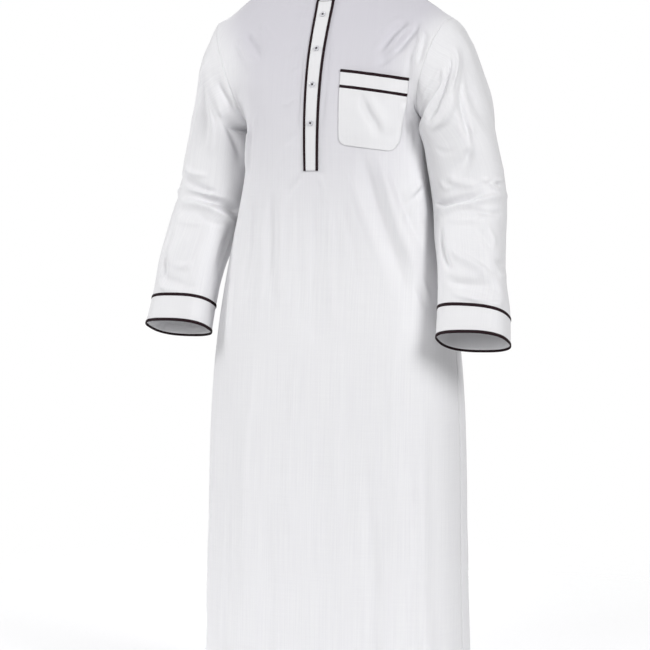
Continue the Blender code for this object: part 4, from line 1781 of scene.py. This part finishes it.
@dataclass
class Button:
    """A round four-hole button with a raised rim, sewn on with dark thread."""

    name: str
    height: float
    ground: Ground
    radius: float = 0.0055
    thickness: float = 0.0025
    hole_spread: float = 0.0015
    lift: float = 0.0030
    sides: int = 48
    # share of the radius and of half the thickness, from the middle of the face round to the back
    profile: tuple[Row, ...] = (
        (0.0, 0.30), (0.45, 0.30), (0.56, 0.34), (0.66, 0.70), (0.80, 0.95), (0.92, 0.80), (1.0, 0.35),
        (1.0, -0.30), (0.90, -0.55), (0.5, -0.6), (0.0, -0.6),
    )
    thread_size: Pair = (0.0016, 0.0010)
    thread_depth: float = 0.42
    thread_rise: float = 0.0004
    thread_steps: int = 8

    def ring(self, work: bmesh.types.BMesh, share: float, height: float) -> list[bmesh.types.BMVert]:
        """Points round the button at one step of its profile.

        Args:
            work: The mesh that they join.
            share: Share of the radius.
            height: Share of half the thickness.

        Returns:
            The points, or the one point in the middle.
        """
        made = []
        for step in range(1 if share == 0 else self.sides):
            angle = 2 * math.pi * step / self.sides
            flat = Vector((math.cos(angle), math.sin(angle), 0.0)) * share * self.radius
            made.append(work.verts.new(flat + Vector((0, 0, height * self.thickness / 2))))
        return made

    def build(self, finishes: Finishes) -> None:
        """Makes the button and its thread.

        Args:
            finishes: The finishes.
        """
        spot, beside, over = (self.ground.at(np.array([x]), np.array([self.height + z]))[0]
                              for x, z in ((0.0, 0.0), (2 * PROBE, 0.0), (0.0, 2 * PROBE)))
        across, above = beside - spot, over - spot
        normal = Vector(np.cross(across, above)).normalized()
        turn = normal.to_track_quat("Z", "Y").to_matrix()
        centre = Vector(spot) + normal * self.lift
        work = bmesh.new()
        rings = [self.ring(work, share, height) for share, height in self.profile]
        for first, second in zip(rings, rings[1:]):
            for step in range(self.sides):
                corners = [first[step % len(first)], second[step % len(second)],
                           second[(step + 1) % len(second)], first[(step + 1) % len(first)]]
                work.faces.new(list(dict.fromkeys(corners)))
        bmesh.ops.recalc_face_normals(work, faces=work.faces)
        mesh = bpy.data.meshes.new(self.name + "_resin")
        work.transform(Matrix.Translation(centre) @ turn.to_4x4())
        work.to_mesh(mesh)
        work.free()
        mesh.shade_smooth()
        mesh.uv_layers.new(name="cloth")
        mesh.materials.append(finishes.button)
        finish_piece(new_object(self.name + "_resin", mesh), "white_button", self.name)
        centre = centre + normal * (self.thickness / 2 * self.thread_depth)
        shares = np.linspace(0, 1, self.thread_steps + 1)[:, None]
        normals = np.tile(np.array(normal), (len(shares), 1))
        for count, corner in enumerate(((1, 1, 0), (-1, 1, 0)), start=1):
            first, second = ((turn @ Vector(corner)) * way * self.hole_spread + centre for way in (1, -1))
            line = np.array(first) * (1 - shares) + np.array(second) * shares
            line = line + np.array(normal) * (np.sin(np.pi * shares) * self.thread_rise)
            thread = sweep(f"{self.name}_thread_{count}", line, normals, self.thread_size, False,
                           finishes.dark_thread)
            finish_piece(thread, "dark_brown_piping")


# Studio


@dataclass(frozen=True)
class Studio:
    """Pale floor, soft light and the camera."""

    floor_height: float = -1.4275
    floor_radius: float = 2.6
    fade_start: float = 0.5
    azimuth: float = 25.0
    distance: float = 4.0
    eye_height: float = -0.536
    metres_per_pixel: float = 0.0019
    frame_pixels: int = 650
    shift: Pair = (-14.0, -75.0)
    sensor: float = 36.0
    room_light: float = 0.18
    wall_light: float = 0.6
    # name, place, target, width of the panel and watts of each light
    lights: tuple[tuple[str, Row, Row, float, float], ...] = (
        ("key", (3.4, -1.8, 1.4), (0.0, 0.0, -0.5), 1.5, 108.0),
        ("side", (-3.4, -1.0, 0.9), (0.0, 0.0, -0.6), 0.8, 52.0),
        ("front", (-0.4, -4.0, 0.6), (0.0, 0.0, -0.7), 2.0, 70.0),
        ("back", (-1.6, 3.6, 1.6), (0.0, 0.0, -0.6), 0.9, 84.0),
    )

    def build(self) -> None:
        """Makes the floor, the lights and the camera."""
        bpy.context.scene.view_settings.view_transform = "Standard"
        self.floor()
        self.surround()
        for light in self.lights:
            self.light(*light)
        self.camera()

    def camera(self) -> None:
        """Makes the camera."""
        turn = math.radians(self.azimuth)
        data = bpy.data.cameras.new("camera")
        data.sensor_width = self.sensor
        data.lens = self.distance / self.metres_per_pixel * self.sensor / self.frame_pixels
        data.shift_x = self.shift[0] / self.frame_pixels
        data.shift_y = self.shift[1] / self.frame_pixels
        camera = new_object("camera", data)
        camera.location = (math.sin(turn) * self.distance, -math.cos(turn) * self.distance, self.eye_height)
        camera.rotation_euler = (math.radians(90), 0.0, turn)
        bpy.context.scene.camera = camera

    def floor(self) -> None:
        """Makes the pale floor, which fades into the light of the room towards its edge."""
        mesh = bpy.data.meshes.new("studio_floor")
        work = bmesh.new()
        bmesh.ops.create_circle(work, cap_ends=True, segments=96, radius=self.floor_radius)
        work.transform(Matrix.Translation((0.0, 0.0, self.floor_height)))
        work.to_mesh(mesh)
        work.free()
        paint, nodes, shader = new_material("studio floor")
        shader.inputs["Base Color"].default_value = (0.93, 0.93, 0.94, 1.0)
        shader.inputs["Roughness"].default_value = 0.9
        place = nodes.add("ShaderNodeTexCoord").outputs["Object"]
        flat = nodes.add("ShaderNodeVectorMath", {"operation": "MULTIPLY"}, in0=place, in1=(1.0, 1.0, 0.0))
        away = nodes.add("ShaderNodeVectorMath", {"operation": "LENGTH"}, in0=flat.outputs[0])
        fade = nodes.ramp(away.outputs["Value"], self.fade_start, self.floor_radius, 1.0, 0.0)
        nodes.feed(shader.inputs["Alpha"], fade)
        mesh.materials.append(paint)
        new_object("studio_floor", mesh)

    def surround(self) -> None:
        """Makes the white room: bright to look at, and a soft light on the robe."""
        world = bpy.data.worlds.new("studio")
        world.use_nodes = True
        nodes = Nodes(world.node_tree)
        turn = math.radians(self.azimuth)
        way = nodes.add("ShaderNodeTexCoord").outputs["Generated"]
        behind = nodes.add("ShaderNodeVectorMath", {"operation": "DOT_PRODUCT"}, in0=way,
                           in1=(-math.sin(turn), math.cos(turn), 0.0)).outputs["Value"]
        seen = nodes.add("ShaderNodeLightPath").outputs["Is Camera Ray"]
        shader = world.node_tree.nodes["Background"]
        shader.inputs["Color"].default_value = (1.0, 1.0, 1.0, 1.0)
        soft = nodes.ramp(behind, -0.5, 0.6, self.room_light, self.wall_light)
        nodes.feed(shader.inputs["Strength"], nodes.math("MAXIMUM", seen, soft))
        bpy.context.scene.world = world

    def light(self, name: str, place: Row, target: Row, size: float, power: float) -> None:
        """Adds a soft light.

        Args:
            name: Its name.
            place: Where it stands.
            target: Where it points.
            size: Width of its panel.
            power: Its power in watts.
        """
        data = bpy.data.lights.new(name, "AREA")
        data.shape = "DISK"
        data.size = size
        data.energy = power
        lamp = new_object(name, data)
        lamp.location = place
        lamp.rotation_euler = (Vector(target) - Vector(place)).to_track_quat("-Z", "Y").to_euler()


# The robe


# Sections of each sleeve, as on the left side
LEFT_SECTIONS = (
    (0.233, -0.006, -0.230, 0.082, 0.079, 64.0, 4.0, 0.0),
    (0.241, -0.012, -0.280, 0.064, 0.078, 34.0, -8.0, 0.0),
    (0.254, -0.010, -0.348, 0.066, 0.064, 6.0, 6.0, 2.0),
    (0.265, 0.002, -0.435, 0.068, 0.062, 5.0, 12.0, 8.0),
    (0.279, -0.030, -0.512, 0.064, 0.058, 3.0, 6.0, 20.0),
    (0.292, -0.056, -0.573, 0.061, 0.054, 0.0, 4.0, 22.0),
    (0.305, -0.078, -0.648, 0.066, 0.051, -2.0, 0.0, 22.0),
    (0.309, -0.092, -0.702, 0.067, 0.052, 1.0, 0.0, 22.0),
)
RIGHT_SECTIONS = (
    (0.232, 0.002, -0.226, 0.084, 0.078, 67.0, 8.0, 0.0),
    (0.240, 0.004, -0.276, 0.060, 0.072, 38.0, 12.0, 0.0),
    (0.256, 0.008, -0.348, 0.066, 0.064, 6.0, 14.0, 2.0),
    (0.266, -0.002, -0.430, 0.068, 0.063, 4.0, 12.0, 8.0),
    (0.280, -0.032, -0.508, 0.064, 0.058, 2.0, 6.0, 18.0),
    (0.289, -0.054, -0.565, 0.062, 0.054, 1.0, 2.0, 19.0),
    (0.295, -0.074, -0.636, 0.061, 0.050, 0.0, 0.0, 19.0),
    (0.299, -0.088, -0.686, 0.063, 0.051, 0.0, 0.0, 19.0),
)

# Folds of the panels in millimetres: across and height of each end, bow, half width and rise
FRONT_FOLDS = (
    fold(90, -340, 200, -660, 0, 16, -6.4, skew=0.2, peak=0.4),
    fold(116, -345, 214, -610, 0, 15, 6.7, skew=-0.3, peak=0.45),
    fold(214, -108, 112, -214, 4, 11.5, -8, peak=0.45),
    fold(182, -106, 112, -184, 4, 9, -5.4, peak=0.5),
)
FRONT_CREASES = (
    # drag lines from the shoulders and along the left armhole
    fold(196, -114, 132, -190, 4, 9, 7.4, peak=0.4),
    fold(160, -100, 112, -160, 3, 8, 3.4, peak=0.4),
    fold(201, -122, 194, -205, -8, 7, 6.5, skew=0.3),
    fold(188, -160, 172, -235, -6, 9, -2.2),
    fold(-178, -118, -118, -190, -4, 10, -5.6, peak=0.4),
    fold(-196, -128, -150, -205, -5, 10, 3.8, peak=0.4),
    fold(-150, -104, -104, -168, -4, 9, 2.7),
    # under the arms
    fold(200, -200, 214, -620, 0, 20, 9, peak=0.45, flank=0.0),
    fold(-160, -300, -174, -402, 4, 9, 5.7, skew=0.2, peak=0.35),
    fold(-147, -292, -158, -412, 4, 9, -4.2, peak=0.4),
    fold(-132, -270, -141, -372, 3, 8, 2.7),
    fold(168, -262, 182, -352, -5, 8, 4.2, peak=0.4),
    fold(184, -285, 192, -365, -3, 6, 2.2),
    # pulls beside the placket
    fold(-30, -72, -78, -62, 2, 5, 2.4, peak=0.3),
    fold(-30, -88, -84, -74, 2, 5, -2.2, peak=0.3),
    fold(-31, -102, -72, -94, 2, 4.8, 2, peak=0.3),
    fold(30, -66, 70, -58, -2, 5, -2, peak=0.3),
    fold(-29, -110, -24, -360, 0, 5.5, -2.7),
    fold(29, -120, 24.5, -330, 0, 5, -1.7),
    fold(-30, -156, -66, -178, 2, 4.5, 1.7, peak=0.3),
    fold(-29, -196, -58, -214, 2, 4.5, -1.5, peak=0.3),
    fold(-28, -252, -70, -268, -2, 5, 1.7, peak=0.3),
    fold(-27, -318, -60, -345, 2, 4.5, -1.7, peak=0.3),
    fold(-20, -396, -52, -450, 4, 7, -2.3, peak=0.3),
    fold(16, -396, 30, -462, -3, 6, 2.3, peak=0.3),
    # second lines beside the long diagonal
    fold(72, -372, 150, -592, 4, 10, 3.4, peak=0.4),
    fold(140, -372, 214, -560, -4, 9, -3.8, peak=0.5),
    fold(60, -420, 112, -640, 4, 12, -2.7),
    # right flank of the waist
    fold(214, -425, 184, -458, 2, 5, -3.8, peak=0.4),
    fold(216, -410, 180, -446, 3, 5.5, 3.4, peak=0.4),
    fold(206, -446, 168, -484, 4, 6.5, 2.5),
    fold(204, -598, 230, -642, 2, 5.5, -3),
    fold(214, -586, 238, -630, 2, 5.5, 2.7),
    # belly
    fold(-80, -416, -74, -640, 6, 12, -4.2, peak=0.4),
    fold(-58, -402, -50, -680, 8, 12, 4.2, peak=0.5),
    fold(-106, -452, -112, -716, -5, 12, 3.2, peak=0.4),
    fold(-134, -430, -148, -650, -5, 12, -3.6),
    fold(8, -430, 18, -740, 6, 13, -4.4),
    fold(36, -415, 58, -690, 6, 13, 4.4),
    fold(-28, -440, -22, -700, -4, 10, -3),
    fold(-178, -560, -190, -760, 4, 11, 4.2),
    # long soft folds of the skirt
    fold(-200, -720, -232, -1300, 8, 20, 5.7, peak=0.7),
    fold(-162, -800, -178, -1410, -6, 18, -4.2, peak=0.8),
    fold(-112, -700, -122, -1240, 6, 16, 3, peak=0.6),
    fold(-66, -860, -72, -1415, 4, 18, -4.2, peak=0.8),
    fold(-20, -640, -14, -1160, 8, 14, 3.4, peak=0.5),
    fold(20, -760, 26, -1400, -6, 19, -3.8, peak=0.75),
    fold(68, -650, 86, -1280, 6, 17, 4.6, peak=0.6),
    fold(116, -780, 136, -1415, -8, 18, -4.6, peak=0.8),
    fold(168, -660, 196, -1180, 6, 16, 4.2, peak=0.5),
    fold(216, -700, 250, -1400, 8, 21, 6.1, peak=0.75),
    fold(200, -880, 216, -1340, -4, 14, -4.2, peak=0.7),
)
BACK_FOLDS = (
    fold(-60, -330, -160, -560, 15, 18, -7.2, skew=0.2, peak=0.4),
    fold(70, -340, 150, -580, 12, 18, -6.4, skew=-0.2, peak=0.45),
)
BACK_CREASES = (
    # from the shoulder blades to the armholes
    fold(-196, -150, -120, -250, 10, 12, -5.3, peak=0.4),
    fold(-180, -130, -104, -215, 8, 10, 4.6, peak=0.4),
    fold(200, -160, 128, -268, -10, 12, -5.7, peak=0.4),
    fold(186, -136, 110, -228, -8, 10, 4.6, peak=0.4),
    fold(-188, -215, -140, -300, 6, 9, 4.2),
    fold(190, -225, 146, -318, -6, 9, 4.2),
    # across the back of the neck and between the blades
    fold(-70, -60, 64, -66, -10, 10, 2.7),
    fold(-86, -88, 80, -82, -12, 11, -2.9),
    fold(-24, -110, -34, -330, 6, 13, 3),
    fold(30, -130, 22, -350, -6, 13, -2.7),
    # hollow of the waist
    fold(-110, -350, -176, -470, 6, 11, 5.7, peak=0.4),
    fold(118, -356, 182, -490, -6, 11, 5.3, peak=0.4),
    fold(-90, -420, 20, -462, 12, 10, -4.2),
    fold(100, -430, 0, -480, -10, 10, -3.8),
    fold(-60, -446, 60, -452, 10, 9, 3.4),
    fold(-140, -490, -60, -540, 8, 12, 3.8),
    fold(150, -500, 70, -556, -8, 12, 3.8),
    # long soft folds of the skirt
    fold(-208, -640, -236, -1260, 8, 20, 6.1, peak=0.6),
    fold(-170, -760, -184, -1415, -6, 18, -4.9, peak=0.8),
    fold(-122, -600, -134, -1180, 6, 18, 5.3, peak=0.6),
    fold(-80, -700, -86, -1410, 6, 18, -5.3, peak=0.8),
    fold(-34, -580, -30, -1240, 8, 16, 4.9, peak=0.6),
    fold(12, -760, 16, -1412, -6, 19, -4.6, peak=0.75),
    fold(62, -590, 76, -1300, 6, 18, 5.7, peak=0.6),
    fold(112, -720, 128, -1415, -8, 18, -5.3, peak=0.8),
    fold(162, -620, 188, -1160, 6, 16, 5.3, peak=0.5),
    fold(218, -690, 246, -1390, 8, 20, 6.5, peak=0.75),
)

# Folds of the sleeves: degrees round and millimetres down of each end, bow, half width and rise
LEFT_FOLDS = (
    arm_fold(152, 262, 56, 266, 14, 10, -11.9, skew=-0.3, peak=0.4),
    arm_fold(144, 304, 4, 262, -4, 10, 8.5, skew=0.2, peak=0.4),
    arm_fold(28, 50, 108, 226, -14, 9, -7.5, peak=0.55),
    arm_fold(104, 130, 44, 80, 5, 8, 7, peak=0.45),
    arm_fold(122, 436, 20, 440, 12, 11, -7, skew=-0.2),
)
LEFT_CREASES = (
    # fanning up from the underarm
    arm_fold(156, 10, 70, 34, 4, 5, 4.2, peak=0.4),
    arm_fold(128, 80, 72, 40, 5, 6, -4.8, peak=0.4),
    arm_fold(72, 16, 109, 102, -4, 6, 6, peak=0.65),
    arm_fold(60, 22, 106, 114, -12, 6, -5.8, peak=0.65),
    arm_fold(46, 16, 98, 122, -22, 7, 5, peak=0.65),
    arm_fold(44, 120, 84, 180, -8, 8, 3.6),
    arm_fold(30, 20, 6, 150, 6, 12, -2.6),
    arm_fold(14, 14, -14, 140, 4, 12, 2.9),
    # short folds above the elbow
    arm_fold(116, 160, 88, 176, 3, 8, -1.6),
    arm_fold(104, 214, 76, 250, 3, 10, 4),
    arm_fold(126, 226, 98, 246, 3, 8, 2.2),
    # outer side of the elbow
    arm_fold(70, 228, 18, 250, 2, 7, 3.2, peak=0.4),
    arm_fold(56, 240, 8, 226, 2, 6, 2.6, peak=0.5),
    arm_fold(60, 236, 14, 238, 1, 6, -3.4),
    arm_fold(46, 246, -4, 228, 2, 6, -1.9),
    arm_fold(30, 198, -12, 206, 2, 7, 1.6),
    arm_fold(20, 262, -24, 246, 2, 7, 1.6),
    # between elbow and cuff
    arm_fold(100, 298, 6, 300, 4, 8, -4.6, peak=0.5),
    arm_fold(112, 322, 50, 318, 3, 8, 3.2),
    arm_fold(123, 322, 106, 430, 11, 8, -6.4, peak=0.6),
    arm_fold(108, 366, 40, 432, 10, 10, 6.2, skew=0.2),
    arm_fold(76, 336, 40, 386, -4, 9, -2.8),
    arm_fold(58, 320, 30, 376, -3, 10, 2.9),
    arm_fold(112, 462, 8, 468, 14, 8, 6, peak=0.55),
    arm_fold(34, 400, -14, 380, 3, 9, -3.2),
    arm_fold(28, 418, -16, 404, 3, 9, 2.6),
    arm_fold(118, 486, 70, 496, 3, 8, -2.6),
    # back of the sleeve
    arm_fold(-36, 50, -70, 190, 8, 13, 3.8),
    arm_fold(-60, 30, -110, 150, 8, 12, -4.2),
    arm_fold(-96, 40, -140, 130, 6, 10, 3.8),
    arm_fold(-150, 256, -60, 236, 5, 10, -7, peak=0.4),
    arm_fold(-154, 276, -40, 250, 5, 10, 5.8, peak=0.4),
    arm_fold(-120, 300, -50, 330, 4, 10, -4.2),
    arm_fold(-110, 350, -40, 410, 6, 12, 4.5),
    arm_fold(-150, 360, -90, 440, 6, 11, -4.5),
    arm_fold(-60, 440, -20, 520, 3, 11, -3.2),
    arm_fold(-130, 460, -100, 540, 3, 11, 3.2),
)
RIGHT_FOLDS = (
    arm_fold(200, 278, 86, 256, 6, 12, -13.5, skew=-0.3, peak=0.45),
    arm_fold(202, 298, 60, 266, 6, 11, 8.5, skew=0.2, peak=0.55),
    arm_fold(130, 250, 62, 214, 4, 9, -7, peak=0.45),
    arm_fold(150, 444, 60, 428, 16, 10, -5.6, peak=0.6),
)
RIGHT_CREASES = (
    # beside the armhole and down the arm
    arm_fold(84, 14, 140, 12, 0, 7, -7.2, peak=0.7),
    arm_fold(76, 26, 136, 34, -2, 8, 3.8, peak=0.7),
    arm_fold(62, 12, 76, 130, 6, 9, 3.8, peak=0.4),
    arm_fold(80, 20, 94, 165, 6, 9, -4.2, peak=0.45),
    arm_fold(96, 40, 108, 185, 5, 9, 3.5),
    arm_fold(46, 30, 58, 170, 5, 10, -2.9),
    arm_fold(26, 20, 34, 150, 5, 11, 2.6),
    arm_fold(140, 50, 168, 200, 6, 13, -6),
    arm_fold(176, 310, 178, 420, 4, 12, -5),
    # elbow
    arm_fold(152, 259, 68, 234, 5, 7, 6.4, peak=0.45),
    arm_fold(110, 218, 54, 190, 4, 8, 4.2),
    arm_fold(60, 204, 24, 224, 3, 8, -2.4),
    arm_fold(70, 238, 30, 246, 3, 7, 2.8),
    arm_fold(56, 258, 20, 264, 3, 8, -2),
    arm_fold(166, 318, 96, 300, 5, 8, -2.8, peak=0.4),
    arm_fold(120, 328, 66, 312, 3, 8, 2.2),
    # between elbow and cuff
    arm_fold(96, 340, 82, 430, -4, 10, 3.5),
    arm_fold(70, 330, 60, 420, -4, 10, -3.2),
    arm_fold(156, 462, 56, 440, 16, 7, 4.8, peak=0.6),
    arm_fold(64, 380, 70, 440, 4, 7, -4.8),
    arm_fold(118, 400, 84, 416, 4, 9, 3.5),
    arm_fold(130, 480, 80, 492, 3, 9, -2.6),
    arm_fold(60, 476, 20, 484, 3, 9, 2.6),
    # outer side and back of the sleeve
    arm_fold(8, 30, -10, 180, 5, 12, -2.9),
    arm_fold(-40, 40, -76, 190, 8, 13, 3.8),
    arm_fold(-70, 30, -116, 160, 8, 12, -4.2),
    arm_fold(-104, 40, -146, 140, 6, 10, 3.5),
    arm_fold(-148, 270, -56, 246, 5, 10, -7, peak=0.4),
    arm_fold(-152, 290, -36, 262, 5, 10, 5.8, peak=0.4),
    arm_fold(-116, 312, -46, 340, 4, 10, -3.8),
    arm_fold(-104, 360, -36, 420, 6, 12, 4.2),
    arm_fold(-146, 370, -84, 450, 6, 11, -4.2),
    arm_fold(-54, 450, -16, 530, 3, 11, 3.2),
    arm_fold(-126, 470, -94, 545, 3, 11, -2.9),
)
# seams across the foot of the placket, and heights of the buttons
PLACKET_CROSS_SEAMS = (-0.388, -0.372)
BUTTON_HEIGHTS = (-0.096, -0.162, -0.230, -0.302)
COLLAR_BUTTON_HEIGHT = -0.052
POCKET_FOLDS = (
    fold(94, -244, 132, -338, 3, 10, -3.9, peak=0.45),
    fold(108, -244, 142, -332, 3, 11, 4.2, skew=-0.2, peak=0.5),
)


def main() -> None:
    """Builds the robe and the studio."""
    logging.basicConfig(level=logging.INFO, format="%(name)s: %(message)s")
    finishes = make_finishes()
    body = BodyCut()
    stitching = Stitching(finishes.thread)
    front = Panel("front", Side.FRONT, body, FRONT_FOLDS, FRONT_CREASES, flat=(0.71, 1.455), flat_area=0.84)
    back = Panel("back", Side.BACK, body, BACK_FOLDS, BACK_CREASES, flat=(0.71, 1.46), flat_area=0.84)
    for panel in (front, back):
        panel.shape()
        panel.build(finishes)
        stitching.sew(panel.name + "_stitches", panel.seam_rows())
    left = Sleeve(SleeveCut("left", 1, body.left_shoulder, LEFT_SECTIONS), body, LEFT_FOLDS, LEFT_CREASES,
                  flat=(0.57, 0.60), flat_area=0.214, cuff_flat=(0.393, 0.053))
    right = Sleeve(SleeveCut("right", -1, body.right_shoulder, RIGHT_SECTIONS), body, RIGHT_FOLDS,
                   RIGHT_CREASES, flat=(0.60, 0.58), flat_area=0.203, cuff_flat=(0.376, 0.051))
    for sleeve in (left, right):
        sleeve.shape()
        sleeve.build(finishes)
        stitching.sew(f"cuff_{sleeve.cut.side_name}_stitches", sleeve.seam_rows())
    collar = Collar(body)
    collar.shape()
    collar.build(finishes)
    stitching.sew("collar_stitches", collar.seam_rows())
    ground = Ground(front.grid, front.normals)
    placket = Placket(("placket", "placket_piping_right", "placket_piping_left"), ground,
                      bottom=-0.390, top=body.neck_front, bottom_half=0.0145, top_half=0.0180,
                      flat=(0.027, 0.325), carrier="front_cloth", cross_seams=PLACKET_CROSS_SEAMS, body=body)
    placket.build(finishes)
    throat = collar.throat()
    lap = Strip(("collar_lap", "collar_piping_right", "collar_piping_left"), throat,
                bottom=body.neck_front + collar.lap_gap,
                top=body.neck_front + collar.height * collar.lap_share,
                bottom_half=collar.lap_half, top_half=collar.lap_half, flat=(0.0245, 0.0365),
                carrier="collar_cloth")
    lap.build(finishes)
    pocket = Pocket(ground, folds=POCKET_FOLDS)
    pocket.build(finishes)
    stitching.sew("patch_stitches", placket.seam_rows() + lap.seam_rows() + pocket.seam_rows())
    for count, height in enumerate(BUTTON_HEIGHTS, start=1):
        Button(f"button_{count}", height, ground).build(finishes)
    Button("collar_button", COLLAR_BUTTON_HEIGHT, throat).build(finishes)
    Studio().build()


if __name__ == "__main__":
    main()
